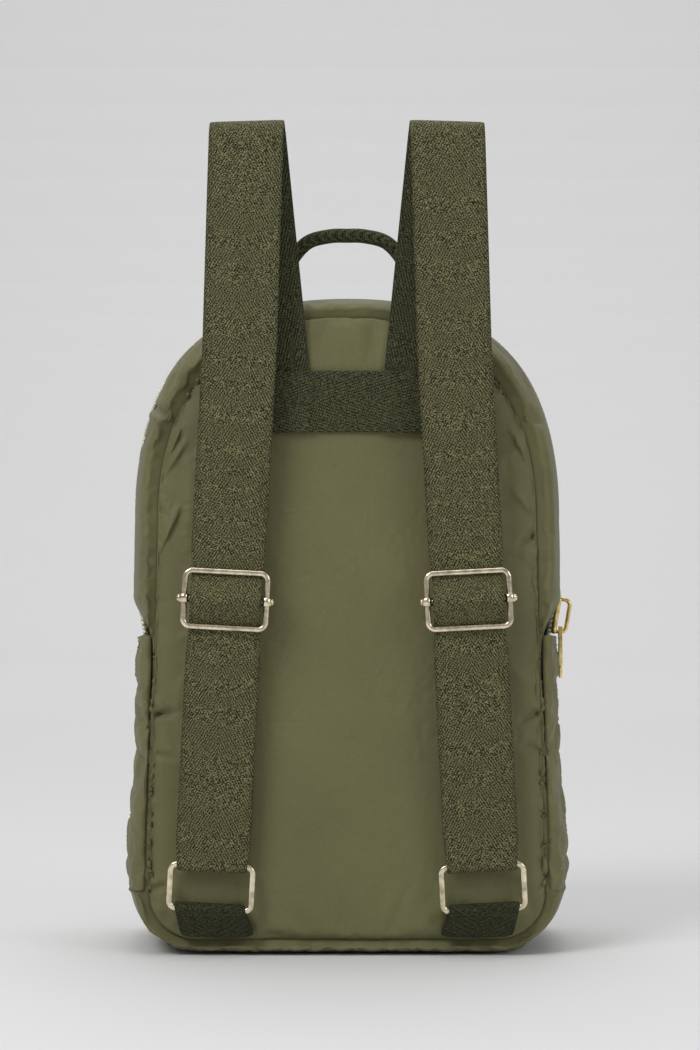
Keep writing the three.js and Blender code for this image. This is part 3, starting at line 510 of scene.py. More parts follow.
def close_and_orient(bm: Mesh) -> None:
    """Welds a closed shape's doubled points and turns its faces outwards."""
    bmesh.ops.remove_doubles(bm, verts=bm.verts, dist=1e-6)
    bmesh.ops.recalc_face_normals(bm, faces=bm.faces)


# The seam outline


@dataclass(frozen=True)
class Station:
    """A place on the seam outline, and the direction that points out of the bag."""

    x: float
    z: float
    nx: float
    nz: float

    def between(self, other: "Station", share: float) -> "Station":
        """A station between this one and another."""
        nx, nz = lerp(self.nx, other.nx, share), lerp(self.nz, other.nz, share)
        length = math.hypot(nx, nz)
        return Station(lerp(self.x, other.x, share), lerp(self.z, other.z, share), nx / length, nz / length)

    def mirrored(self) -> "Station":
        """The same place on the other side of the bag."""
        return replace(self, x=-self.x, nx=-self.nx)


class Track:
    """A run of stations that can be read at any share of its length."""

    def __init__(self, stations: Sequence[Station]) -> None:
        """Measures the run."""
        self.stations = list(stations)
        self.reach = [0.0]
        for a, b in zip(self.stations, self.stations[1:]):
            self.reach.append(self.reach[-1] + math.hypot(b.x - a.x, b.z - a.z))

    @property
    def length(self) -> float:
        """The whole length."""
        return self.reach[-1]

    def at(self, share: float) -> Station:
        """The station at a share of the length."""
        goal = clamp(share) * self.length
        k = min(bisect_right(self.reach, goal), len(self.reach) - 1)
        step = self.reach[k] - self.reach[k - 1]
        return self.stations[k - 1].between(self.stations[k], (goal - self.reach[k - 1]) / step)


@dataclass
class BagForm:
    """The bag's shape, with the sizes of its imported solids."""

    shoulder_half: float = 0.096
    arch_start: float = 0.220
    arch_fullness: float = 2.3
    corner_radius: float = 0.024
    height: float = 0.334
    base_depth: float = 0.112
    top_depth: float = 0.084
    side_bulge: float = 0.013
    top_bulge: float = 0.011
    shoulder_swell: float = 0.004
    base_bulge: float = 0.010
    crown_fullness: float = 2.5
    hem_height: float = 0.162
    hem_dip: float = 0.003
    pocket_low_bulge: float = 0.0108
    pocket_hem_bulge: float = 0.0094
    pocket_slack: float = 0.009
    pocket_gap: float = 0.0005
    pocket_dent: float = 0.002
    pocket_dent_height: float = 0.036
    mouth_start: float = 0.156
    mouth_end: float = 0.182
    zip_end: float = 0.150
    zip_gap: float = 0.015
    zip_drop: float = 0.0025
    arch_zip_drop: float = 0.0006
    roll: float = 0.0052
    roll_reach: float = 0.0034
    base_roll: float = 0.4
    fineness: int = 240

    def __post_init__(self) -> None:
        """Reads the panel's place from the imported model."""
        low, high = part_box("back_panel")
        self.low_half = high.x
        self.bottom = low.z
        self.crown_height = high.z
        self.rear_seam = -self.base_depth / 2
        self.back_face = low.y
        self.side_start = self.bottom + self.corner_radius
        self.arch_rise = self.crown_height - self.arch_start

    def side(self, height: float) -> Station:
        """The station on the right-hand side at a height."""
        share = (height - self.side_start) / (self.arch_start - self.side_start)
        slope = (self.low_half - self.shoulder_half) / (self.arch_start - self.side_start)
        length = math.hypot(1, slope)
        return Station(lerp(self.low_half, self.shoulder_half, share), height, 1 / length, slope / length)

    def arch(self, angle: float) -> Station:
        """The station over the top, from 0 at the right-hand end to a half turn at the left."""
        power = 2 / self.arch_fullness
        across = math.copysign(abs(math.cos(angle)) ** power, math.cos(angle))
        up = math.sin(angle) ** power
        grade = self.arch_fullness - 1
        nx = math.copysign(abs(across) ** grade, across) / self.shoulder_half
        nz = up**grade / self.arch_rise
        length = math.hypot(nx, nz)
        x, z = self.shoulder_half * across, self.arch_start + self.arch_rise * up
        return Station(x, z, nx / length, nz / length)

    def corner(self, angle: float) -> Station:
        """The station on the right-hand bottom corner, from the side to the floor."""
        nx, nz = math.cos(angle), -math.sin(angle)
        x = self.low_half - self.corner_radius * (1 - nx)
        return Station(x, self.side_start + self.corner_radius * nz, nx, nz)

    def _right_side(self, low: float, high: float) -> list[Station]:
        """Stations up the right-hand side."""
        return [self.side(lerp(low, high, k / 40)) for k in range(41)]

    @cached_property
    def over_top(self) -> Track:
        """From the right-hand end of the zip, over the top, to the left-hand end."""
        side = self._right_side(self.zip_end, self.arch_start)
        arch = [self.arch(math.pi * k / self.fineness) for k in range(1, self.fineness)]
        return Track([*side, *arch, *(s.mirrored() for s in reversed(side))])

    @cached_property
    def under_base(self) -> Track:
        """From the right-hand end of the zip, under the base, to the left-hand end."""
        side = self._right_side(self.zip_end - 0.0003, self.side_start)
        corner = [self.corner(math.pi / 2 * k / 24) for k in range(1, 25)]
        right = [*side, *corner]
        return Track([*right, *(s.mirrored() for s in reversed(right))])

    def quarter(self, start: float, end: float) -> Track:
        """Part of the closed outline, by angle from the floor's middle to the right and up."""
        return Track([self.outline_at(lerp(start, end, k / 160)) for k in range(161)])

    @cached_property
    def outline(self) -> Track:
        """The whole outline from the middle of the base, up the right, and back."""
        side = self._right_side(self.side_start, self.arch_start)
        corner = [self.corner(math.pi / 2 * (1 - k / 24)) for k in range(25)]
        arch = [self.arch(math.pi / 2 * k / self.fineness) for k in range(1, self.fineness + 1)]
        right = [Station(0.0, self.bottom, 0.0, -1.0), *corner, *side[1:], *arch]
        return Track([*right, *(s.mirrored() for s in reversed(right[:-1]))])

    def outline_at(self, share: float) -> Station:
        """The station at a share of the whole outline, which may run past either end."""
        return self.outline.at(share % 1.0)

    def depth_at(self, height: float) -> float:
        """Distance between the two panels' seams."""
        return lerp(self.base_depth, self.top_depth, height / self.height)

    def front_seam_at(self, height: float) -> float:
        """Where the quilted panel's seam lies."""
        return self.rear_seam + self.depth_at(height)

    def crown(self, across: float) -> float:
        """Share of the full swelling at a share of the depth."""
        edge = abs(2 * across - 1) ** self.crown_fullness
        return max(0.0, 1 - edge) ** (1 / self.crown_fullness)

    def full_offset(self, station: Station, across: float) -> float:
        """How far a swollen gusset stands outside the seam outline."""
        above = station.nz > 0
        upright = self.top_bulge if above else self.base_bulge
        full = self.side_bulge * station.nx**2 + upright * station.nz**2
        if above:
            full += self.shoulder_swell * (2 * station.nx * station.nz) ** 2
        return full * self.crown(across)

    def pocket_inner(self, height: float, across: float) -> float:
        """How far the inner face of a pocket stands outside the seam outline."""
        share = (height - self.side_start) / (self.hem_height - self.side_start)
        below = clamp((self.hem_height - height) / self.pocket_dent_height)
        dent = self.pocket_dent * math.sin(math.pi * below)
        return (lerp(self.pocket_low_bulge, self.pocket_hem_bulge, share) - dent) * self.crown(across)

    def gusset_offset(self, station: Station, across: float) -> float:
        """How far the gusset stands outside the seam outline, pressed in behind the pockets."""
        full = self.full_offset(station, across)
        if station.z < self.side_start - 1e-6 or station.z > self.mouth_end:
            return full
        depth = smoothstep(station.z, self.side_start, (self.side_start + self.hem_height) / 2)
        slack = self.pocket_slack * depth * abs(math.sin(2 * math.pi * across)) ** 0.8
        pressed = self.pocket_inner(station.z, across) - self.pocket_gap - slack
        return lerp(pressed, full, smoothstep(station.z, self.mouth_start, self.mouth_end))

    def place(self, station: Station, across: float, offset: float) -> Vector:
        """A point off the seam outline, at a share of the depth."""
        z = max(0.0, station.z + station.nz * offset)
        y = lerp(self.rear_seam, self.front_seam_at(station.z), across)
        return Vector((station.x + station.nx * offset, y, z))

    def rolled(self, station: Station, across: float, offset: float, share: float = 1.0) -> Vector:
        """A point off the seam outline, with the padding rolled over both seams.

        Args:
            station: Where the point lies on the outline.
            across: Its share of the depth.
            offset: How far it stands outside the outline.
            share: How much of the full roll it takes.

        Returns:
            The point.
        """
        depth = self.depth_at(station.z)
        point = self.place(station, across, offset)
        fuller = 1 + self.base_roll * max(0.0, -station.nz)
        for inset, toward in ((across * depth, -1), ((1 - across) * depth, 1)):
            reach = max(0.0, inset) / (self.roll_reach * fuller)
            point.y += toward * self.roll * fuller * share * reach * math.exp(1 - reach)
        return point

    def tape_offset(self, station: Station) -> float:
        """How far the zip tape stands outside the seam outline."""
        drop = lerp(self.zip_drop, self.arch_zip_drop, smoothstep(station.z, 0.19, 0.235))
        return self.gusset_offset(station, 0.5) - drop

    def outward(self, place: Vector) -> Vector:
        """Roughly outwards, for a point on the gusset."""
        return Vector((place.x, 0.0, place.z - self.height / 2))


FORM = BagForm()


# Wrinkles


@dataclass(frozen=True)
class Crease:
    """A fold in the cloth, from one place to another as they are seen from the wearer's back."""

    x: float
    z: float
    to_x: float
    to_z: float
    height: float
    width: float = 0.00176

    def lift(self, place: Vector) -> float:
        """How far the cloth is lifted at a place, or pressed in if negative."""
        along_x, along_z = self.to_x - self.x, self.to_z - self.z
        length = along_x**2 + along_z**2
        share = clamp(((place.x - self.x) * along_x + (place.z - self.z) * along_z) / length)
        away = math.hypot(place.x - self.x - along_x * share, place.z - self.z - along_z * share)
        taper = math.sin(math.pi * (0.12 + 0.76 * share))
        return self.height * taper * math.exp(-((away / self.width) ** 2))


CREASES = (
    Crease(-0.0995, 0.2795, -0.0862, 0.2690, -0.0036, 0.00208),
    Crease(-0.1010, 0.2760, -0.0880, 0.2640, 0.0024, 0.00240),
    Crease(-0.0850, 0.2685, -0.0938, 0.2510, 0.0027, 0.00176),
    Crease(-0.0825, 0.2600, -0.0935, 0.2440, 0.0021, 0.00176),
    Crease(-0.0845, 0.2860, -0.0815, 0.2925, -0.0039, 0.00176),
    Crease(-0.0860, 0.2270, -0.0950, 0.2080, 0.0027, 0.00192),
    Crease(-0.0980, 0.2330, -0.0930, 0.2235, -0.0039, 0.00128),
    Crease(-0.1005, 0.1212, -0.0880, 0.1225, -0.0036, 0.00176),
    Crease(-0.1040, 0.1335, -0.0930, 0.1260, 0.0021, 0.00208),
    Crease(-0.0985, 0.1030, -0.0860, 0.0990, -0.0021, 0.00176),
    Crease(-0.1075, 0.1260, -0.1010, 0.1100, -0.0027, 0.00192),
    Crease(-0.1080, 0.0870, -0.1015, 0.1060, -0.0021, 0.00208),
    Crease(-0.1010, 0.0480, -0.1085, 0.0405, -0.0033, 0.00176),
    Crease(-0.0995, 0.0330, -0.0900, 0.0365, -0.0024, 0.00176),
    Crease(0.0870, 0.2790, 0.0960, 0.2700, -0.0036, 0.00192),
    Crease(0.0840, 0.2660, 0.0945, 0.2480, 0.0027, 0.00192),
    Crease(0.0850, 0.2350, 0.0955, 0.2240, 0.0021, 0.00192),
    Crease(0.0990, 0.2160, 0.0870, 0.2080, -0.0027, 0.00176),
    Crease(0.1005, 0.1250, 0.0890, 0.1190, -0.0033, 0.00176),
    Crease(0.1020, 0.1030, 0.0900, 0.1060, -0.0021, 0.00176),
    Crease(0.1080, 0.1150, 0.1010, 0.0980, -0.0027, 0.00192),
    Crease(0.1010, 0.0500, 0.1085, 0.0420, -0.0033, 0.00176),
)


def creased(place: Vector) -> float:
    """How far all the folds together lift the cloth at a place on the wearer's side."""
    return sum(crease.lift(place) for crease in CREASES)


def puckered(place: Vector, inset: float, height: float = 0.0014, pitch: float = 0.0075) -> float:
    """How far the gathers along a seam lift the cloth.

    Args:
        place: A point on the seam, or beside it.
        inset: Its distance from the seam.
        height: Height of the highest gathers.
        pitch: Usual distance from one gather to the next.

    Returns:
        The lift, which fades away from the seam.
    """
    spot = Vector((place.x, place.y * 0.35, place.z)) / pitch
    gather = noise.noise(spot) + 0.6 * noise.noise(spot * 2.1 + Vector((7, 3, 1)))
    swell = 0.55 + 0.9 * noise.noise(spot * 0.23 + Vector((1, 8, 5)))
    fade = math.exp(-inset / (0.8 * pitch)) * smoothstep(inset, 0.0, 0.0016)
    return height * gather * max(0.0, swell) * fade


def nearest_tree(points: Sequence[Vector]) -> KDTree:
    """A tree that finds the nearest of some points."""
    tree = KDTree(len(points))
    for k, point in enumerate(points):
        tree.insert(point, k)
    tree.balance()
    return tree


def groove_layer(bm: Mesh) -> bmesh.types.BMLayerItem:
    """The layer that says how deep in a seam each point lies, which the nylon finish darkens as painted
    shade.
    """
    return bm.verts.layers.float.get(GROOVE) or bm.verts.layers.float.new(GROOVE)


# Cloth that swells between its seams


@dataclass(frozen=True)
class Swelling:
    """How sewn cloth swells and puckers between its seams."""

    pressure: float
    growth: float
    reach: float
    bending: float = 0.4


class Tailor:
    """Lets sewn cloth swell, all pieces at once, and keeps the result in their meshes."""

    frames: int = 20

    def __init__(self) -> None:
        """Starts with no pieces."""
        self.jobs: list[tuple[bpy.types.Object, Swelling]] = []

    def add(self, obj: bpy.types.Object, swelling: Swelling) -> None:
        """Gives a piece a Cloth modifier, held where its sewn attribute says.

        Args:
            obj: The piece.
            swelling: How it swells.
        """
        group = obj.vertex_groups.new(name=SEWN)
        for k, item in enumerate(obj.data.attributes[SEWN].data):
            group.add([k], clamp(item.value), "REPLACE")
        cloth = obj.modifiers.new("swell", "CLOTH")
        settings = cloth.settings
        settings.quality = 6
        settings.mass = 0.12
        settings.tension_stiffness = 18
        settings.compression_stiffness = 18
        settings.shear_stiffness = 6
        settings.bending_stiffness = swelling.bending
        settings.air_damping = 4
        settings.vertex_group_mass = SEWN
        settings.use_pressure = True
        settings.uniform_pressure_force = swelling.pressure
        settings.shrink_min = -swelling.growth
        settings.effector_weights.gravity = 0
        cloth.collision_settings.use_collision = False
        cloth.point_cache.frame_start = 1
        cloth.point_cache.frame_end = self.frames
        self.jobs.append((obj, swelling))

    def run(self) -> None:
        """Steps the simulation and writes the swollen points into the meshes."""
        scene = bpy.context.scene
        for number in range(1, self.frames + 1) if self.jobs else ():
            scene.frame_set(number)
        graph = bpy.context.evaluated_depsgraph_get()
        for obj, swelling in self.jobs:
            moved = [v.co.copy() for v in obj.evaluated_get(graph).data.vertices]
            furthest = 0.0
            for vertex, goal in zip(obj.data.vertices, moved):
                step = goal - vertex.co
                furthest = max(furthest, step.length)
                vertex.co += step / (1 + (step.length / swelling.reach) ** 3) ** (1 / 3)
            obj.modifiers.remove(obj.modifiers["swell"])
            LOG.info("%s swelled by up to %.1f mm", obj.name, furthest * 1000)
        scene.frame_set(1)


TAILOR = Tailor()


def sewn_layer(bm: Mesh) -> bmesh.types.BMLayerItem:
    """The layer that says how firmly each point is sewn down."""
    return bm.verts.layers.float.get(SEWN) or bm.verts.layers.float.new(SEWN)


def cloth_grid(columns: int, rows: int, place: Callable[[float, float], Vector]) -> Mesh:
    """A sheet whose points are placed by their shares across and along it.

    Args:
        columns: Number of faces across.
        rows: Number of faces along.
        place: Gives a point from its two shares.

    Returns:
        The mesh, with flat coordinates for its weave in a UV layer.
    """
    bm = bmesh.new()
    bmesh.ops.create_grid(bm, x_segments=columns, y_segments=rows, size=0.5)
    uv = bm.loops.layers.uv.new(UV_NAME)
    shares = {v: (v.co.x + 0.5, v.co.y + 0.5) for v in bm.verts}
    for vertex, (across, along) in shares.items():
        vertex.co = place(across, along)
    for face in bm.faces:
        for loop in face.loops:
            loop[uv].uv = shares[loop.vert]
    return bm


def tuck_in(bm: Mesh, edges: Sequence[bmesh.types.BMEdge], step: Callable[[Vector], Vector]) -> None:
    """Extrudes a sheet's edges into a seam allowance."""
    grown = bmesh.ops.extrude_edge_only(bm, edges=list(edges))["geom"]
    for vertex in (g for g in grown if isinstance(g, bmesh.types.BMVert)):
        vertex.co += step(vertex.co)


@dataclass
class BackPanel:
    """The smooth panel on the wearer's back, lightly padded to its seam."""

    columns: int = 144
    rows: int = 216
    edge: float = 0.0008
    padding: float = 0.0048
    rounding: float = 0.0042
    allowance: float = 0.0015
    thickness: float = 0.0014
    pucker: float = 0.0014
    low_pucker: float = 0.0004
    low_corner: float = 0.135
    high_corner: float = 0.405

    def _patch(self, across: float, along: float) -> tuple[float, float]:
        """A point of the flat panel, blended from its four edges."""
        base = self._base.at(across)
        top = self._top.at(across)
        left, right = self._left.at(along), self._right.at(along)
        corners = [self._base.at(0), self._base.at(1), self._top.at(0), self._top.at(1)]
        weights = [(1 - across) * (1 - along), across * (1 - along), (1 - across) * along, across * along]
        result = []
        for axis in ("x", "z"):
            value = lerp(getattr(base, axis), getattr(top, axis), along)
            value += lerp(getattr(left, axis), getattr(right, axis), across)
            value -= sum(w * getattr(c, axis) for w, c in zip(weights, corners))
            result.append(value)
        return result[0], result[1]

    def build(self) -> bpy.types.Object:
        """Makes the panel and lets it swell."""
        low, high = self.low_corner, self.high_corner
        self._base = FORM.quarter(-low, low)
        self._top = FORM.quarter(1 - high, high)
        self._right = FORM.quarter(low, high)
        self._left = FORM.quarter(1 - low, 1 - high)

        def place(across: float, along: float) -> Vector:
            x, z = self._patch(across, along)
            return Vector((x, FORM.rear_seam - self.edge, z))

        bm = cloth_grid(self.columns, self.rows, place)
        sewn, groove = sewn_layer(bm), groove_layer(bm)
        border = nearest_tree([v.co.copy() for v in bm.verts if v.is_boundary])
        for vertex in bm.verts:
            spot, _, inset = border.find(vertex.co)
            rise = 1 - math.exp(-inset / self.rounding)
            gathers = lerp(self.low_pucker, self.pucker, smoothstep(spot.z, 0.13, 0.18))
            folds = creased(vertex.co) * smoothstep(inset, 0.0, 0.003)
            lift = self.padding * rise + puckered(spot, inset, gathers) + folds
            vertex.co.y -= lift
            vertex[sewn] = 1.0 if inset < 1e-6 else 0.03 + 0.25 * smoothstep(inset, 0.012, 0.035)
            vertex[groove] = 1.0 if inset < 1e-6 else 0.0
        face_outwards(bm, lambda p: Vector((0, -1, 0)))
        uv = bm.loops.layers.uv[UV_NAME]
        for face in bm.faces:
            for loop in face.loops:
                loop[uv].uv = loop.vert.co.xz
        obj = WORKSHOP.piece("back_panel_cloth", bm, [SMOOTH], Slot.SMOOTH_NYLON, ["back_panel"])
        TAILOR.add(obj, Swelling(pressure=1.2, growth=0.035, reach=0.0022, bending=0.6))
        return obj

    def close(self, obj: bpy.types.Object) -> None:
        """Gives the swollen panel its edge and thickness."""
        bm = bmesh.new()
        bm.from_mesh(obj.data)
        limit = FORM.back_face + 0.0002
        for vertex in bm.verts:
            over = limit - vertex.co.y
            vertex.co.y = limit + 0.0006 * math.log1p(math.exp(-over / 0.0006))
        tuck_in(bm, [e for e in bm.edges if e.is_boundary], lambda p: Vector((0, self.allowance, 0)))
        bm.to_mesh(obj.data)
        bm.free()
        thicken(obj, self.thickness)


@dataclass
class Quilting:
    """Diamonds stitched through padded cloth."""

    width: float = 0.03647
    height: float = 0.038
    cells: int = 16
    puff: float = 0.006
    fullness: float = 0.6

    def sheet(self, half_width: float, low: float, high: float, middle: float) -> Mesh:
        """A flat sheet in the XZ plane, whose faces follow the stitched lines.

        Args:
            half_width: How far the sheet reaches to either side.
            low: Its lowest height.
            high: Its highest height.
            middle: The height of one crossing of stitched lines on the centre line.

        Returns:
            The mesh, with a sewn layer that is 1 on the stitched lines, and a puff layer.
        """
        bm = bmesh.new()
        reach = max(half_width / self.width, (high - middle) / self.height, (middle - low) / self.height)
        count = math.ceil(2 * reach) + 1
        segments = 2 * count * self.cells
        bmesh.ops.create_grid(bm, x_segments=segments, y_segments=segments, size=count)
        sewn, groove = sewn_layer(bm), groove_layer(bm)
        puff = bm.verts.layers.float.new("puff")
        for vertex in bm.verts:
            rising, falling = vertex.co.x, vertex.co.y
            share = abs(math.sin(math.pi * rising) * math.sin(math.pi * falling))
            vertex[puff] = share**self.fullness
            vertex[sewn] = 1.0 if share < 1e-6 else 0.0
            vertex[groove] = 0.75 if share < 1e-6 else 0.0
            x, z = self.width * (rising + falling) / 2, middle + self.height * (rising - falling) / 2
            vertex.co = Vector((x, 0.0, z))
        return bm

    @staticmethod
    def trim(bm: Mesh, point: Vector, normal: Vector) -> None:
        """Cuts away what lies on the far side of a plane."""
        geom = [*bm.verts, *bm.edges, *bm.faces]
        bmesh.ops.bisect_plane(bm, geom=geom, dist=2e-5, plane_co=point, plane_no=normal, clear_outer=True)

    @staticmethod
    def tidy(bm: Mesh) -> None:
        """Welds slivers left by the cuts, and sews the sheet's border down."""
        bmesh.ops.remove_doubles(bm, verts=bm.verts, dist=0.0004)
        sewn, groove = sewn_layer(bm), groove_layer(bm)
        for vertex in bm.verts:
            if vertex.is_boundary:
                vertex[sewn] = 1.0
                vertex[groove] = 1.0


@dataclass
class FrontPanel:
    """The quilted panel on the far side."""

    quilting: Quilting = field(default_factory=Quilting)
    seam_stand: float = 0.0012
    line_stand: float = 0.0028
    fade: float = 0.014
    cuts: int = 96
    allowance: float = 0.0012
    thickness: float = 0.0014

    def build(self) -> bpy.types.Object:
        """Makes the panel and lets it swell."""
        bm = self.quilting.sheet(FORM.low_half, FORM.bottom, FORM.crown_height, 0.0)
        for k in range(self.cuts):
            station = FORM.outline_at((k + 0.5) / self.cuts)
            self.quilting.trim(bm, Vector((station.x, 0, station.z)), Vector((station.nx, 0, station.nz)))
        self.quilting.tidy(bm)
        border = nearest_tree([v.co.copy() for v in bm.verts if v.is_boundary])
        puff = bm.verts.layers.float["puff"]
        uv = bm.loops.layers.uv.new(UV_NAME)
        for face in bm.faces:
            for loop in face.loops:
                loop[uv].uv = loop.vert.co.xz
        for vertex in bm.verts:
            inset = border.find(vertex.co)[2]
            fade = smoothstep(inset, 0.0, self.fade)
            stand = lerp(self.seam_stand, self.line_stand, fade)
            stand += self.quilting.puff * 0.75 * vertex[puff] * fade
            vertex.co.y = FORM.front_seam_at(vertex.co.z) + stand
        face_outwards(bm, lambda p: Vector((0, 1, 0)))
        obj = WORKSHOP.piece("front_panel_quilt", bm, [QUILTED], Slot.QUILTED_NYLON, ["front_panel"])
        TAILOR.add(obj, Swelling(pressure=4.0, growth=0.06, reach=0.004))
        return obj

    def close(self, obj: bpy.types.Object) -> None:
        """Gives the swollen panel its edge and thickness."""
        bm = bmesh.new()
        bm.from_mesh(obj.data)
        turned = Vector((0, -self.allowance, 0))
        tuck_in(bm, [e for e in bm.edges if e.is_boundary], lambda p: turned)
        bm.to_mesh(obj.data)
        bm.free()
        thicken(obj, self.thickness)


@dataclass
class Gusset:
    """The padded wall round the bag: one lower piece, and a strip on either side of the zip."""

    pitch: float = 0.0014
    allowance: float = 0.005
    thickness: float = 0.0014
    stitch_inset: float = 0.0028
    held: float = 0.03
    strip_rows: int = 30

    def _sheet(
        self,
        track: Track,
        near: Callable[[Station], float],
        far: Callable[[Station], float],
        rows: int,
        spread: Callable[[float], float],
    ) -> Mesh:
        """A gusset sheet between two shares of the depth.

        Args:
            track: Where it runs on the outline.
            near: The share of the depth at its first edge, by station.
            far: The share at its other edge.
            rows: Number of faces across it.
            spread: Places the rows, from 0 to 1, with more of them near a seam.

        Returns:
            The mesh.
        """

        def place(along: float, across: float) -> Vector:
            station = track.at(along)
            share = lerp(near(station), far(station), spread(across))
            hidden = smoothstep(station.z, 0.03, 0.045) * (1 - smoothstep(station.z, 0.158, 0.166))
            point = FORM.rolled(station, share, FORM.gusset_offset(station, share), 1 - 0.6 * hidden)
            inset = min(share, 1 - share) * FORM.depth_at(station.z)
            lift = puckered(point, inset) * (1 - hidden)
            if share < 0.5:
                lift += creased(point) * smoothstep(inset, 0.0, 0.003) * (1 - hidden)
            return point + Vector((station.nx, -0.5 if share < 0.5 else 0.5, station.nz)) * lift

        columns = round(track.length / self.pitch)
        bm = cloth_grid(columns, rows, place)
        uv = bm.loops.layers.uv[UV_NAME]
        for face in bm.faces:
            for loop in face.loops:
                along, across = loop[uv].uv
                loop[uv].uv = (along * track.length, across * FORM.base_depth)
        face_outwards(bm, FORM.outward)
        return bm

    def lower(self) -> bpy.types.Object:
        """Makes the piece under the bag and behind the pockets."""
        rows = round(0.85 * FORM.base_depth / self.pitch)

        def spread(share: float) -> float:
            return share - 0.5 * math.sin(2 * math.pi * share) / (2 * math.pi)

        bm = self._sheet(FORM.under_base, lambda s: 0.0, lambda s: 1.0, rows, spread)
        sewn, groove = sewn_layer(bm), groove_layer(bm)
        front = FORM.front_seam_at(0.05)
        for vertex in bm.verts:
            edge = vertex.is_boundary
            hidden = smoothstep(vertex.co.z, 0.026, 0.04)
            resting = 1 - smoothstep(vertex.co.z, 0.0, 0.003)
            inner = smoothstep(min(vertex.co.y - FORM.rear_seam, front - vertex.co.y), 0.0, 0.02)
            vertex[sewn] = 1.0 if edge else max(self.held, 0.9 * hidden * inner, 0.8 * resting)
            vertex[groove] = 1.0 if edge else 0.0
        obj = WORKSHOP.piece("lower_gusset_cloth", bm, [SMOOTH], Slot.SMOOTH_NYLON, ["lower_gusset"])
        TAILOR.add(obj, Swelling(pressure=3.0, growth=0.04, reach=0.0011, bending=0.5))
        return obj

    def strip(self, rear: bool) -> bpy.types.Object:
        """Makes the strip beside the zip, towards the wearer's back if rear, else towards the front."""
        name = "zip_strip_rear" if rear else "zip_strip_front"
        seam = 0.0 if rear else 1.0
        toward = -1 if rear else 1

        def zip_edge(station: Station) -> float:
            return 0.5 + toward * FORM.zip_gap / 2 / FORM.depth_at(station.z)

        bm = self._sheet(FORM.over_top, lambda s: seam, zip_edge, self.strip_rows, lambda share: share**1.3)
        sewn, groove = sewn_layer(bm), groove_layer(bm)
        for vertex in bm.verts:
            middle = lerp(FORM.rear_seam, FORM.front_seam_at(vertex.co.z), 0.5)
            from_zip = abs(vertex.co.y - middle) - FORM.zip_gap / 2
            behind = 1 - smoothstep(vertex.co.z, 0.155, 0.17)
            topstitched = 1.0 if from_zip < self.stitch_inset else 0.0
            vertex[sewn] = 1.0 if vertex.is_boundary else max(self.held, 0.9 * behind, topstitched)
            vertex[groove] = 1.0 if vertex.is_boundary and from_zip > self.stitch_inset else 0.0
        obj = WORKSHOP.piece(f"{name}_cloth", bm, [SMOOTH], Slot.SMOOTH_NYLON, [name])
        TAILOR.add(obj, Swelling(pressure=3.0, growth=0.045, reach=0.0011, bending=0.5))
        return obj

    def close(self, obj: bpy.types.Object) -> None:
        """Turns the seams' edges in, and gives the cloth its thickness."""
        bm = bmesh.new()
        bm.from_mesh(obj.data)
        for vertex in bm.verts:
            vertex.co.z = max(vertex.co.z, 0.0)

        def at_seam(edge: bmesh.types.BMEdge) -> bool:
            spots = [v.co for v in edge.verts]
            rear = all(p.y < FORM.rear_seam + 1e-4 for p in spots)
            front = all(p.y > FORM.front_seam_at(p.z) - 6e-4 for p in spots)
            return edge.is_boundary and (rear or front)

        def inwards(place: Vector) -> Vector:
            step = Vector((-place.x, 0, FORM.height * 0.5 - place.z)).normalized() * self.allowance
            return step + Vector((0, 0.0006 if place.y < 0 else -0.0006, 0))

        tuck_in(bm, [e for e in bm.edges if at_seam(e)], inwards)
        bm.to_mesh(obj.data)
        bm.free()
        thicken(obj, self.thickness)


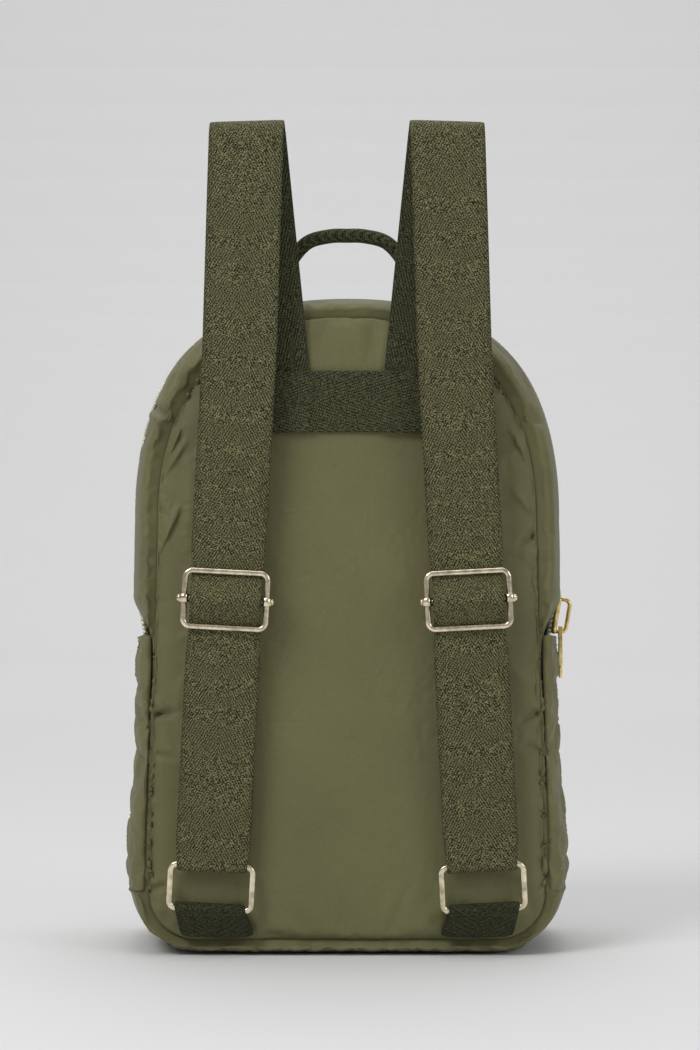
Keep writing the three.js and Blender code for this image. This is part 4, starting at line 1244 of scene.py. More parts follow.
@dataclass
class SidePocket:
    """A quilted slip pocket on one side, open at the top."""

    side: Side
    quilting: Quilting = field(default_factory=lambda: Quilting(width=0.0365, height=0.0355, puff=0.0024))
    line_stand: float = 0.0018
    edge: float = 0.0004
    crossing: float = 0.1465
    thickness: float = 0.0016
    hem_hold: float = 0.25
    pucker: float = 0.0003
    hollow: float = 0.0024
    hollow_low: float = 0.066
    hollow_high: float = 0.140

    def _bend(self, flat: Vector, stand: float) -> Vector:
        """Bends a flat point round the side of the bag."""
        across = 0.5 + flat.x / FORM.base_depth
        rise = (flat.z - FORM.side_start) / (FORM.hem_height - FORM.side_start)
        height = flat.z - FORM.hem_dip * math.sin(math.pi * clamp(across)) * rise
        station = FORM.side(height)
        inset = min(across, 1 - across) * FORM.depth_at(height)
        sunk = clamp((height - self.hollow_low) / (self.hollow_high - self.hollow_low))
        stand -= self.hollow * math.sin(math.pi * sunk) ** 0.7
        spot = Vector((self.side.value, across, height))
        lift = stand * smoothstep(inset, 0.0, 0.006) + puckered(spot, inset, self.pucker)
        placed = FORM.rolled(station, across, FORM.pocket_inner(height, across) + lift)
        placed.x *= self.side.value
        if across < 0.5:
            fold = creased(placed) * smoothstep(inset, 0.0, 0.003)
            placed += Vector((self.side.value * 0.7, -0.7, 0)) * fold
        return placed

    def build(self) -> bpy.types.Object:
        """Makes the pocket and lets it swell."""
        half = FORM.base_depth / 2 - self.edge
        low, high = FORM.side_start, FORM.hem_height
        bm = self.quilting.sheet(half, low, high, self.crossing)
        cuts = (
            ((half, 0, 0), (1, 0, 0)),
            ((-half, 0, 0), (-1, 0, 0)),
            ((0, 0, low), (0, 0, -1)),
            ((0, 0, high), (0, 0, 1)),
        )
        for point, normal in cuts:
            self.quilting.trim(bm, Vector(point), Vector(normal))
        self.quilting.tidy(bm)
        sewn, groove = sewn_layer(bm), groove_layer(bm)
        puff = bm.verts.layers.float["puff"]
        uv = bm.loops.layers.uv.new(UV_NAME)
        for face in bm.faces:
            for loop in face.loops:
                loop[uv].uv = loop.vert.co.xz
        for vertex in bm.verts:
            inset = min(half - abs(vertex.co.x), vertex.co.z - low)
            fade = smoothstep(inset, 0.0, 0.012) * smoothstep(high - vertex.co.z, 0.0, 0.012)
            if high - vertex.co.z < 1e-4:
                vertex[groove] = 0.0
                vertex[sewn] = self.hem_hold if inset > 1e-4 else 1.0
            vertex.co = self._bend(vertex.co, self.line_stand + self.quilting.puff * vertex[puff] * fade)
        face_outwards(bm, lambda p: Vector((self.side.value, 0, 0)))
        name = f"side_pocket_{self.side.label}"
        obj = WORKSHOP.piece(f"{name}_quilt", bm, [QUILTED], Slot.QUILTED_NYLON, [name])
        TAILOR.add(obj, Swelling(pressure=3.0, growth=0.05, reach=0.0008))
        return obj

    def close(self, obj: bpy.types.Object) -> None:
        """Gives the pocket its thickness."""
        thicken(obj, self.thickness)


# Webbing and other swept pieces


@dataclass(frozen=True)
class Rib:
    """One cross-section of a swept piece, with its half sizes as the axes' lengths."""

    centre: Vector
    across: Vector
    up: Vector
    along: float


def sweep(ribs: Sequence[Rib], sides: int, squareness: float) -> Mesh:
    """A closed piece through a row of cross-sections.

    Args:
        ribs: The cross-sections in order.
        sides: Number of faces round the piece.
        squareness: 1 gives ellipses, and smaller values give squarer sections.

    Returns:
        The mesh. Faces on the side that up points away from have material number 1.
    """

    def place(around: float, along: float) -> Vector:
        rib = ribs[round(along * (len(ribs) - 1))]
        angle = 2 * math.pi * around
        c, s = math.cos(angle), math.sin(angle)
        wide = math.copysign(abs(c) ** squareness, c)
        high = math.copysign(abs(s) ** squareness, s)
        return rib.centre + rib.across * wide + rib.up * high

    bm = cloth_grid(sides, len(ribs) - 1, place)
    uv = bm.loops.layers.uv[UV_NAME]
    for face in bm.faces:
        middle = sum(loop[uv].uv.x for loop in face.loops) / 4
        face.material_index = 1 if middle > 0.5 else 0
        for loop in face.loops:
            around, along = loop[uv].uv
            rib = ribs[round(along * (len(ribs) - 1))]
            c = math.cos(2 * math.pi * around)
            wide = math.copysign(abs(c) ** squareness, c) * rib.across.length
            loop[uv].uv = (wide, rib.along)
    bmesh.ops.remove_doubles(bm, verts=bm.verts, dist=1e-6)
    bmesh.ops.holes_fill(bm, edges=[e for e in bm.edges if e.is_boundary], sides=0)
    bmesh.ops.recalc_face_normals(bm, faces=bm.faces)
    return bm


@dataclass(frozen=True)
class Turn:
    """A bar that webbing passes round, seen from the side. Sense 1 turns left, -1 right."""

    y: float
    z: float
    radius: float
    sense: int
    width: float
    run: float
    change: float = 0.0


@dataclass(frozen=True)
class Sample:
    """A place along webbing, seen from the side."""

    y: float
    z: float
    angle: float
    width: float
    run: float


@dataclass(frozen=True)
class WebbingSize:
    """Sizes of the webbing and of the room it needs round metal."""

    width: float = 0.0376
    gathered: float = 0.0356
    gather_length: float = 0.012
    thickness: float = 0.0015
    seam_gap: float = 0.0003
    sliding_gap: float = 0.0004
    wire_width: float = 0.003
    wire_depth: float = 0.0026
    bar_radius: float = 0.0015

    @property
    def wrap(self) -> float:
        """Radius of the webbing's middle round a wire."""
        reach = math.hypot(self.wire_width / 2, self.wire_depth / 2 - 0.0007)
        return reach + self.seam_gap + self.thickness / 2

    @property
    def layer(self) -> float:
        """Distance from one layer to the next."""
        return self.thickness + self.sliding_gap


WEB = WebbingSize()


def belt_path(turns: Sequence[Turn], last_sweep: float = 0.0) -> list[Sample]:
    """Joins bars by the straight runs that touch them.

    Args:
        turns: The bars in order.
        last_sweep: How far the webbing goes on round the last bar.

    Returns:
        Samples along the path, with the straight runs divided.
    """
    legs = []
    for a, b in zip(turns, turns[1:]):
        dy, dz = b.y - a.y, b.z - a.z
        lean = math.asin((a.sense * a.radius - b.sense * b.radius) / math.hypot(dy, dz))
        legs.append(math.atan2(dz, dy) + lean)
    samples: list[Sample] = []
    for k, turn in enumerate(turns):
        enter = legs[max(k - 1, 0)]
        leave = legs[k] if k < len(legs) else enter + last_sweep * turn.sense
        sweep_angle = turn.sense * (((leave - enter) * turn.sense) % (2 * math.pi))
        count = max(1, math.ceil(abs(sweep_angle) / 0.22)) if turn.radius > 0 else 0
        for n in range(count + 1):
            share = n / count if count else 0.0
            angle = enter + sweep_angle * share
            y = turn.y + math.sin(angle) * turn.sense * turn.radius
            z = turn.z - math.cos(angle) * turn.sense * turn.radius
            fresh = Sample(y, z, angle, turn.width, turn.run + turn.change * share)
            samples.extend(_straight(samples[-1], fresh) if samples and n == 0 else ())
            samples.append(fresh)
    return samples


def _straight(start: Sample, end: Sample) -> list[Sample]:
    """The divided straight run between two samples, at full width away from its ends."""
    length = math.hypot(end.y - start.y, end.z - start.z)
    count = math.ceil(length / 0.005)
    found = []
    for n in range(1, count):
        share = n / count
        near = min(share, 1 - share) * length
        width = lerp(start.width, end.width, share)
        if length > 3 * WEB.gather_length:
            width = lerp(width, WEB.width, smoothstep(near, 0.0, WEB.gather_length))
        run = lerp(start.run, end.run, share)
        found.append(Sample(lerp(start.y, end.y, share), lerp(start.z, end.z, share), end.angle, width, run))
    return found


@dataclass
class StrapLine:
    """Where the middle of a strap's webbing lies, from the fold down to the ring."""

    rows: Sequence[tuple[float, float]] = (
        (0.421, 0.0502),
        (0.3055, 0.0538),
        (0.2005, 0.0598),
        (0.0455, 0.0680),
        (0.009, 0.0700),
    )

    def at(self, height: float) -> tuple[float, float]:
        """The distance from the middle of the bag, and the lean, at a height."""
        k = next((n for n in range(1, len(self.rows)) if height >= self.rows[n][0]), len(self.rows) - 1)
        (top, far), (low, near) = self.rows[k - 1], self.rows[k]
        slope = (far - near) / (top - low)
        return near + slope * (height - low), -math.atan(slope)


LINE = StrapLine()


def ribbon(samples: Sequence[tuple[Sample, float, float]], thickness: float) -> Mesh:
    """Webbing along samples that each have a place across the bag and a lean.

    Args:
        samples: The samples, each with its place across and its lean.
        thickness: Thickness of the webbing.

    Returns:
        The mesh, with its face as material 0 and its reverse as material 1.
    """
    ribs = []
    along = 0.0
    last = None
    for sample, x, lean in samples:
        centre = Vector((x, sample.y, sample.z))
        along += (centre - last).length if last else 0.0
        last = centre
        across = Vector((math.cos(lean), 0, math.sin(lean))) * (sample.width / 2)
        up = Vector((0, math.sin(sample.angle), -math.cos(sample.angle))) * (thickness / 2)
        ribs.append(Rib(centre, across, up, along))
    return sweep(ribs, 24, 0.42)


@dataclass
class ShoulderStrap:
    """One webbing: up from the yoke, over the fold, through the buckle to the ring, and back."""

    side: Side
    top: float = 0.421
    fold_radius: float = 0.007
    foot_across: float = 0.0376
    under_yoke: float = 0.022
    stand: float = 0.003
    slack: float = 0.0012
    ripple: float = 0.0005

    def build(self) -> bpy.types.Object:
        """Makes the strap."""
        label = self.side.label
        frame_low, frame_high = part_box(f"buckle_frame_{label}")
        ring_low, ring_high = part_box(f"ring_{label}")
        yoke_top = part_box("yoke")[1].z
        foot = FORM.back_face - WEB.seam_gap - WEB.thickness / 2
        plane = (frame_low.y + frame_high.y) / 2
        centre = (frame_low.z + frame_high.z) / 2
        bars = (Buckle.height - WEB.wire_width) / 2
        ring_y, ring_z = Ring.bar(ring_low, ring_high, 1)
        wrap = WEB.bar_radius + WEB.seam_gap + WEB.thickness / 2
        narrow = {"width": WEB.gathered, "run": 1.0}
        loop_width = Buckle.inner_width + WEB.wire_width - 2 * (Buckle.sleeve_reach + WEB.sliding_gap)
        fold_z = self.top - self.fold_radius - WEB.thickness / 2
        turns = [
            Turn(foot, yoke_top - self.under_yoke, 0, 1, WEB.width, 0),
            Turn(foot, yoke_top + 0.002, 0, 1, WEB.width, 0),
            Turn(foot - self.stand - self.fold_radius, fold_z, self.fold_radius, 1, WEB.width, 0, 1),
            Turn(plane, centre + bars, WEB.wrap, -1, **narrow),
            Turn(plane, centre, wrap + WEB.layer, 1, **narrow),
            Turn(plane, centre - bars, WEB.wrap, -1, **narrow),
            Turn(ring_y, ring_z, WEB.wrap, 1, **narrow),
            Turn(plane, centre - bars, WEB.wrap + WEB.layer, 1, **narrow),
            Turn(plane, centre, wrap, 1, loop_width, 1.0),
        ]
        spread = LINE.at(self.top)[0] - self.foot_across
        inner_lean = -math.atan(spread / (self.top - yoke_top))
        placed = []
        for sample in belt_path(turns, math.pi * 1.05):
            rising = max(0.0, (sample.z - yoke_top) / (self.top - yoke_top))
            across, lean = LINE.at(sample.z)
            x = lerp(self.foot_across + spread * rising, across, sample.run)
            sag = self.slack * math.sin(math.pi * clamp((self.top - sample.z) / 0.21)) * sample.run
            wander = self.ripple * noise.noise(Vector((self.side.value * 3.1, sample.z * 22, sample.run)))
            sample = replace(sample, y=sample.y - sag + wander)
            placed.append((sample, self.side.value * x, self.side.value * lerp(inner_lean, lean, sample.run)))
        bm = ribbon(placed, WEB.thickness)
        name = f"shoulder_strap_{label}"
        # The reverse faces take the darker reverse finish, whose colour holds painted shade for the inner
        # run.
        obj = WORKSHOP.piece(f"{name}_webbing", bm, [WEB_FACE, WEB_REVERSE_AND_SHADE], Slot.WEBBING, [name])
        smooth_out(obj)
        return obj


@dataclass
class RingTab:
    """The webbing tab that holds a ring, folded over its lower bar and sewn into the seam."""

    side: Side
    foot_shift: float = 0.0042
    foot_height: float = 0.0094
    foot_stand: float = 0.0058

    def build(self) -> bpy.types.Object:
        """Makes the tab."""
        label = self.side.label
        bar_y, bar_z = Ring.bar(*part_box(f"ring_{label}"), -1)
        rear = FORM.rear_seam - self.foot_stand
        turns = [
            Turn(rear, self.foot_height, 0, -1, WEB.width, 0),
            Turn(bar_y, bar_z, WEB.wrap, 1, WEB.gathered, 0),
            Turn(rear - WEB.layer, self.foot_height, 0, -1, WEB.width, 0),
        ]
        line_x, line_lean = LINE.at(bar_z)
        placed = []
        for sample in belt_path(turns):
            fall = clamp((bar_z - sample.z) / (bar_z - self.foot_height))
            x = self.side.value * (line_x - self.foot_shift * fall)
            placed.append((sample, x, self.side.value * line_lean * (1 - fall)))
        bm = ribbon(placed, WEB.thickness)
        name = f"ring_tab_{label}"
        obj = WORKSHOP.piece(f"{name}_webbing", bm, [TAB_FACE, TAB_FACE], Slot.WEBBING, [name])
        smooth_out(obj)
        return obj


@dataclass
class Yoke:
    """The webbing band across the back panel, over the sewn ends of the straps."""

    half_width: float = 0.0595
    rise: float = 0.0025
    thickness: float = 0.0015
    strap_middle: float = 0.0376
    ramp: float = 0.0028

    def build(self) -> bpy.types.Object:
        """Makes the band."""
        low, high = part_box("yoke")
        on_panel = FORM.back_face - WEB.seam_gap - self.thickness / 2
        over = WEB.thickness + WEB.seam_gap
        edge = WEB.width / 2 + 0.001
        ribs = []
        count = 84
        for k in range(count + 1):
            x = lerp(-self.half_width, self.half_width, k / count)
            from_strap = abs(abs(x) - self.strap_middle) - edge
            lift = over * (1 - smoothstep(from_strap, -self.ramp * 0.3, self.ramp * 0.7))
            base = low.z + self.rise * (1 - (x / self.half_width) ** 2)
            middle = (base + high.z) / 2
            centre = Vector((x, on_panel - lift, middle))
            across = Vector((0, 0, (high.z - base) / 2))
            ribs.append(Rib(centre, across, Vector((0, -self.thickness / 2, 0)), x))
        bm = sweep(ribs, 24, 0.42)
        # The yoke takes the darker reverse finish, whose colour holds painted shade from the straps.
        obj = WORKSHOP.piece("yoke_webbing", bm, [WEB_REVERSE_AND_SHADE, WEB_REVERSE_AND_SHADE], Slot.WEBBING, ["yoke"])
        smooth_out(obj)
        return obj


@dataclass
class CarryHandle:
    """The rolled webbing handle on top."""

    radius: float = 0.0037
    top: float = 0.3664
    half_span: float = 0.033
    depth_place: float = 0.21
    sunk: float = 0.003

    def build(self) -> bpy.types.Object:
        """Makes the handle as a bent roll that flattens at its sewn ends."""
        low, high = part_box("carry_handle")
        y = (low.y + high.y) / 2
        foot = low.z - self.sunk
        rise = self.top - foot
        shape = ((1.0, 0.0), (1.0, 0.33), (0.88, 0.645), (0.62, 0.905), (0.28, 0.991))
        right = [Vector((self.half_span * a, y, foot + rise * u)) for a, u in shape]
        points = [*right, Vector((0, y, self.top)), *(Vector((-p.x, p.y, p.z)) for p in reversed(right))]
        ribs = []
        along = 0.0
        last = None
        steps = 88
        for k in range(steps + 1):
            centre, tangent = self._spline(points, k / steps)
            along += (centre - last).length if last else 0.0
            last = centre
            normal = Vector((tangent.z, 0, -tangent.x)).normalized()
            flat = 1 - 0.35 * (1 - smoothstep(min(k, steps - k) / steps, 0.0, 0.12))
            across = Vector((0, 1, 0)) * self.radius / flat**0.5
            ribs.append(Rib(centre, across, normal * self.radius * flat, along))
        bm = sweep(ribs, 20, 0.9)
        finishes = [WEB_REVERSE_AND_SHADE, WEB_REVERSE_AND_SHADE]
        obj = WORKSHOP.piece("carry_handle_roll", bm, finishes, Slot.WEBBING, ["carry_handle"])
        smooth_out(obj)
        return obj

    @staticmethod
    def _spline(points: Sequence[Vector], share: float) -> tuple[Vector, Vector]:
        """A point and direction on a smooth curve through the points."""
        padded = [2 * points[0] - points[1], *points, 2 * points[-1] - points[-2]]
        place = clamp(share) * (len(points) - 1)
        k = min(int(place), len(points) - 2)
        t = place - k
        a, b, c, d = padded[k : k + 4]
        square, cube = 2 * a - 5 * b + 4 * c - d, 3 * b - a - 3 * c + d
        spot = 0.5 * (2 * b + (c - a) * t + square * t**2 + cube * t**3)
        slope = 0.5 * ((c - a) + 2 * square * t + 3 * cube * t**2)
        return spot, slope.normalized()


# Metal


def wire_loop(
    width: float, height: float, radius: float, wide: float, deep: float, squareness: float
) -> Mesh:
    """A closed rounded rectangle of wire in the XZ plane, about the origin.

    Args:
        width: Width between the wire's middles.
        height: Height between the wire's middles.
        radius: Radius of the corners, at the wire's middle.
        wide: The wire's size in the plane.
        deep: The wire's size across the plane.
        squareness: 1 gives a round wire, and smaller values a squarer one.

    Returns:
        The mesh.
    """
    bm = bmesh.new()
    ring = bmesh.ops.create_circle(bm, segments=16, radius=1.0)["verts"]
    for vertex in ring:
        c, s = vertex.co.x, vertex.co.y
        across = math.copysign(abs(c) ** squareness, c) * wide / 2
        out = math.copysign(abs(s) ** squareness, s) * deep / 2
        vertex.co = Vector((0, out, across))
    bmesh.ops.translate(bm, verts=ring, vec=Vector((radius - width / 2, 0, -height / 2)))
    edges = bm.edges[:]
    heading = Vector((1, 0, 0))
    inward = Vector((0, 0, 1))
    turn = Matrix.Rotation(-math.pi / 2, 3, "Y")
    for run in (width, height, width, height):
        straight = run - 2 * radius
        grown = bmesh.ops.extrude_edge_only(bm, edges=edges)["geom"]
        verts = [g for g in grown if isinstance(g, bmesh.types.BMVert)]
        edges = [g for g in grown if isinstance(g, bmesh.types.BMEdge) and g.is_boundary]
        bmesh.ops.translate(bm, verts=verts, vec=heading * straight)
        middle = sum((v.co for v in verts), Vector()) / len(verts)
        spun = bmesh.ops.spin(
            bm, geom=edges, cent=middle + inward * radius, axis=Vector((0, 1, 0)), dvec=Vector(),
            angle=-math.pi / 2, steps=8, use_merge=False, use_duplicate=False, use_normal_flip=False,
        )["geom_last"]
        edges = [g for g in spun if isinstance(g, bmesh.types.BMEdge)]
        heading, inward = turn @ heading, turn @ inward
    close_and_orient(bm)
    return bm


def set_in_place(bm: Mesh, place: Vector, lean: float, tip: float = 0.0) -> None:
    """Tips a shape about X, leans it about Y and moves it to its place."""
    turn = Matrix.Rotation(lean, 4, "Y") @ Matrix.Rotation(tip, 4, "X")
    bmesh.ops.transform(bm, matrix=Matrix.Translation(place) @ turn, verts=bm.verts)


@dataclass
class Buckle:
    """The metal adjuster of one strap: a wire frame with a bar across its middle."""

    side: Side
    height: float = 0.031
    inner_width: float = 0.0384
    corner: float = 0.0052
    sleeve_reach: float = 0.00295
    sleeve_length: float = 0.0042
    bead: float = 0.0019
    bead_flatness: float = 0.62

    def build(self) -> None:
        """Makes the frame and its bar."""
        label = self.side.label
        low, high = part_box(f"buckle_frame_{label}")
        place = (low + high) / 2
        lean = -self.side.value * LINE.at(place.z)[1]
        wire = WEB.wire_width
        width = self.inner_width + wire
        bm = wire_loop(width, self.height - wire, self.corner - wire / 2, wire, WEB.wire_depth, 0.85)
        set_in_place(bm, place, lean)
        name = f"buckle_frame_{label}"
        WORKSHOP.piece(f"{name}_plated", bm, [PALE_GOLD], Slot.PALE_GOLD, [name])
        bm = self._bar(width / 2)
        set_in_place(bm, place, lean)
        name = f"buckle_bar_{label}"
        WORKSHOP.piece(f"{name}_plated", bm, [PALE_GOLD], Slot.PALE_GOLD, [name])

    def _bar(self, reach: float) -> Mesh:
        """The bar across the frame, with a rolled sleeve and a bead at either end."""
        bm = bmesh.new()
        across = Matrix.Rotation(math.pi / 2, 4, "Y")
        bmesh.ops.create_cone(
            bm, cap_ends=True, segments=20, radius1=WEB.bar_radius, radius2=WEB.bar_radius,
            depth=2 * reach - 2 * self.sleeve_reach + 0.0008, matrix=across,
        )
        for end in (-1, 1):
            self._sleeve(bm, Vector((end * reach, 0, 0)))
            spot = Matrix.Translation(Vector((end * (reach + self.sleeve_reach - 0.0002), 0, 0)))
            shape = spot @ Matrix.Diagonal((self.bead_flatness, 1.0, 1.0, 1.0))
            bmesh.ops.create_uvsphere(bm, u_segments=16, v_segments=10, radius=self.bead, matrix=shape)
        bmesh.ops.recalc_face_normals(bm, faces=bm.faces)
        return bm

    def _sleeve(self, bm: Mesh, place: Vector) -> None:
        """A rolled sleeve round the frame's side wire, spun from its section."""
        bore, outer, half = self.sleeve_reach - 0.0009, self.sleeve_reach, self.sleeve_length / 2
        soft = 0.0003
        section = [
            (bore, -half + soft), (bore, half - soft), (bore + soft, half), (outer - soft, half),
            (outer, half - soft), (outer, -half + soft), (outer - soft, -half), (bore + soft, -half),
        ]
        verts = [bm.verts.new(place + Vector((r, 0, z))) for r, z in section]
        edges = [bm.edges.new((a, b)) for a, b in zip(verts, [*verts[1:], verts[0]])]
        bmesh.ops.spin(
            bm, geom=[*verts, *edges], cent=place, axis=Vector((0, 0, 1)), dvec=Vector(),
            angle=2 * math.pi, steps=24, use_merge=True, use_duplicate=False, use_normal_flip=False,
        )


@dataclass
class Ring:
    """The metal rectangular ring at the foot of one strap."""

    side: Side
    height: float = 0.0253
    corner: float = 0.0048
    tip: float = math.radians(4.5)

    @classmethod
    def bar(cls, low: Vector, high: Vector, up: int) -> tuple[float, float]:
        """Where the upper (1) or lower (-1) bar lies, as Y and Z."""
        middle = (low + high) / 2
        reach = (cls.height - WEB.wire_width) / 2
        return middle.y - reach * math.sin(cls.tip) * up, middle.z + reach * math.cos(cls.tip) * up

    def build(self) -> None:
        """Makes the ring."""
        name = f"ring_{self.side.label}"
        low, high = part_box(name)
        place = (low + high) / 2
        wire = WEB.wire_width
        width = Buckle.inner_width + wire
        bm = wire_loop(width, self.height - wire, self.corner - wire / 2, wire, WEB.wire_depth, 0.6)
        set_in_place(bm, place, -self.side.value * LINE.at(place.z)[1], self.tip)
        WORKSHOP.piece(f"{name}_plated", bm, [PALE_GOLD], Slot.PALE_GOLD, [name])


# Zip


@dataclass
class Zip:
    """The tape and the metal teeth over the top of the bag."""

    tape_half: float = 0.0072
    tape_thickness: float = 0.0009
    pitch: float = 0.00245
    tooth_reach: float = 0.0029
    tooth_length: float = 0.00135
    tooth_rise: float = 0.0022
    overlap: float = 0.0004

    def build(self) -> None:
        """Makes the tape and its teeth."""
        self._tape()
        self._teeth()

    def _tape(self) -> None:
        """The woven tape, a little below the strips beside it."""
        ribs = []
        count = 150
        track = FORM.over_top
        for k in range(count + 1):
            station = track.at(k / count)
            centre = FORM.place(station, 0.5, FORM.tape_offset(station) - self.tape_thickness / 2)
            up = Vector((station.nx, 0, station.nz)) * self.tape_thickness / 2
            ribs.append(Rib(centre, Vector((0, self.tape_half, 0)), up, k / count * track.length))
        bm = sweep(ribs, 12, 0.5)
        WORKSHOP.piece("zip_tape_woven", bm, [TAPE, TAPE], Slot.ZIP_TAPE, ["zip_tape"])

    def _teeth(self) -> None:
        """Two rows of teeth that interlock over the middle of the tape."""
        bm = bmesh.new()
        track = FORM.over_top
        count = int(track.length / self.pitch)
        for k in range(2 * count):
            share = (k + 0.5) / (2 * count)
            station = track.at(share)
            ahead = track.at(share + 0.002)
            side = 1 if k % 2 else -1
            along = Vector((ahead.x - station.x, 0, ahead.z - station.z)).normalized()
            out = Vector((station.nx, 0, station.nz))
            base = FORM.place(station, 0.5, FORM.tape_offset(station) + self.tooth_rise / 2 + 0.0001)
            centre = base + Vector((0, side * (self.tooth_reach / 2 - self.overlap), 0))
            axes = Matrix((
                (along.x, 0, out.x, centre.x),
                (along.y, 1, out.y, centre.y),
                (along.z, 0, out.z, centre.z),
                (0, 0, 0, 1),
            ))
            size = Matrix.Diagonal((self.tooth_length, self.tooth_reach, self.tooth_rise, 1.0))
            bmesh.ops.create_cube(bm, size=1.0, matrix=axes @ size)
        bmesh.ops.recalc_face_normals(bm, faces=bm.faces)
        obj = WORKSHOP.piece("zip_teeth_metal", bm, [TOOTH_METAL], Slot.ZIP_METAL, ["zip_teeth"])
        round_edges(obj, 0.00035)


def round_edges(obj: bpy.types.Object, width: float) -> None:
    """Adds a small live bevel."""
    modifier = obj.modifiers.new("rounded", "BEVEL")
    modifier.width = width
    modifier.segments = 2
    modifier.limit_method = "ANGLE"
    modifier.harden_normals = False


@dataclass
class ZipSlider:
    """The zip's slider, on the right-hand side of the bag, and its pull."""

    height: float = 0.171
    length: float = 0.020
    width: float = 0.010
    plate: float = 0.0024
    rise: float = 0.0084
    bridge_wire: float = 0.0021
    bridge_width: float = 0.0044
    teeth_height: float = 0.0016
    gap: float = 0.0008
    pull_thickness: float = 0.0018
    pull_width: float = 0.0078
    pull_length: float = 0.021
    tip_width: float = 0.0034
    tip_length: float = 0.005
    window: float = 0.0064

    def _axes(self) -> Matrix:
        """The slider's own frame: X out of the bag, Y across the zip and Z along it."""
        stand = self.teeth_height + self.gap
        ends = []
        for height in (self.height - self.length / 2, self.height + self.length / 2):
            station = FORM.side(height)
            ends.append(FORM.place(station, 0.5, FORM.tape_offset(station) + stand))
        tilt = math.atan2(ends[1].x - ends[0].x, ends[1].z - ends[0].z)
        return Matrix.Translation((ends[0] + ends[1]) / 2) @ Matrix.Rotation(tilt, 4, "Y")

    def build(self) -> None:
        """Makes the slider and the pull."""
        axes = self._axes()
        bm = bmesh.new()
        body = bmesh.ops.create_cube(bm, size=1.0)["verts"]
        bmesh.ops.scale(bm, verts=body, vec=Vector((self.plate, self.width, self.length)))
        bmesh.ops.translate(bm, verts=body, vec=Vector((self.plate / 2, 0, 0)))
        for vertex in body:
            if vertex.co.z < 0:
                vertex.co.y *= 0.72
        bmesh.ops.bevel(
            bm, geom=[e for e in bm.edges if abs(e.verts[0].co.x - e.verts[1].co.x) > 1e-4], offset=0.0026,
            offset_type="OFFSET", segments=5, profile=0.5, affect="EDGES", material=-1,
        )
        bmesh.ops.bevel(
            bm, geom=[e for e in bm.edges if e.calc_face_angle(0) > 0.9], offset=0.0006, offset_type="OFFSET",
            segments=3, profile=0.5, affect="EDGES", material=-1,
        )
        self._bridge(bm)
        bmesh.ops.recalc_face_normals(bm, faces=bm.faces)
        bmesh.ops.transform(bm, matrix=axes, verts=bm.verts)
        WORKSHOP.piece("zip_slider_plated", bm, [ZIP_GOLD], Slot.ZIP_METAL, ["zip_slider"])
        self._pull()

    def _bridge(self, bm: Mesh) -> None:
        """The bridge that the pull hangs on, an arch of flat wire with round shoulders."""
        wire = self.bridge_wire
        reach = self.length / 2 - 0.0004 - wire / 2
        high = self.rise - wire / 2
        corner = 0.0030
        ribs = []
        path = [(0.0004, -reach, -math.pi / 2)]
        for centre_z, start in ((-reach + corner, math.pi), (reach - corner, math.pi / 2)):
            for k in range(7):
                angle = start - math.pi / 2 * k / 6
                spot_x = high - corner + corner * math.sin(angle if start < 3 else math.pi - angle)
                path.append((spot_x, centre_z + corner * math.cos(angle), angle - math.pi))
        path.append((0.0004, reach, -3 * math.pi / 2))
        for k, (x, z, _) in enumerate(path):
            before, after = path[max(k - 1, 0)], path[min(k + 1, len(path) - 1)]
            tangent = Vector((after[0] - before[0], 0, after[1] - before[1])).normalized()
            normal = Vector((tangent.z, 0, -tangent.x))
            across = Vector((0, self.bridge_width / 2, 0))
            ribs.append(Rib(Vector((x, 0, z)), across, normal * wire / 2, k * 0.001))
        arch = sweep(ribs, 16, 0.55)
        for face in arch.faces:
            face.material_index = 0
        spare = bpy.data.meshes.new("bridge")
        arch.to_mesh(spare)
        arch.free()
        bm.from_mesh(spare)
        bpy.data.meshes.remove(spare)

    def _pull(self) -> None:
        """The flat pull, with a window round the bridge and a narrow tip."""
        joint = next(j for j in frame["joints"] if j["child"] == Body.PULL.value)
        pivot = Vector(joint["pos_m"])
        half, tip = self.pull_width / 2, self.tip_width / 2
        top = self.pull_thickness / 2
        side = self.bridge_width / 2 + 0.0004
        lines = [
            [(-half, top), (-half, -self.pull_length + 0.0015), (-half + 0.0015, -self.pull_length)],
            [(-tip, -self.pull_length), (-tip, -self.pull_length - self.tip_length)],
            [(tip, -self.pull_length - self.tip_length), (tip, -self.pull_length)],
            [(half - 0.0015, -self.pull_length), (half, -self.pull_length + 0.0015), (half, top)],
        ]
        outer = [p for line in lines for p in line]
        inner = [(-side, -top), (-side, -self.window), (side, -self.window), (side, -top)]
        bm = bmesh.new()
        edges = []
        for loop in (outer, inner):
            verts = [bm.verts.new((0, y, z)) for y, z in loop]
            edges += [bm.edges.new((a, b)) for a, b in zip(verts, [*verts[1:], verts[0]])]
        bmesh.ops.triangle_fill(bm, edges=edges, use_beauty=True)
        bmesh.ops.dissolve_limit(bm, angle_limit=0.01, verts=bm.verts, edges=bm.edges)
        bmesh.ops.solidify(bm, geom=bm.faces[:], thickness=self.pull_thickness)
        middle = sum((v.co.x for v in bm.verts)) / len(bm.verts)
        bmesh.ops.translate(bm, verts=bm.verts, vec=pivot - Vector((middle, 0, 0)))
        bmesh.ops.recalc_face_normals(bm, faces=bm.faces)
        obj = WORKSHOP.piece("zip_pull_plated", bm, [ZIP_GOLD], Slot.ZIP_METAL, ["zip_pull"], Body.PULL)
        round_edges(obj, 0.0003)


# Stitching


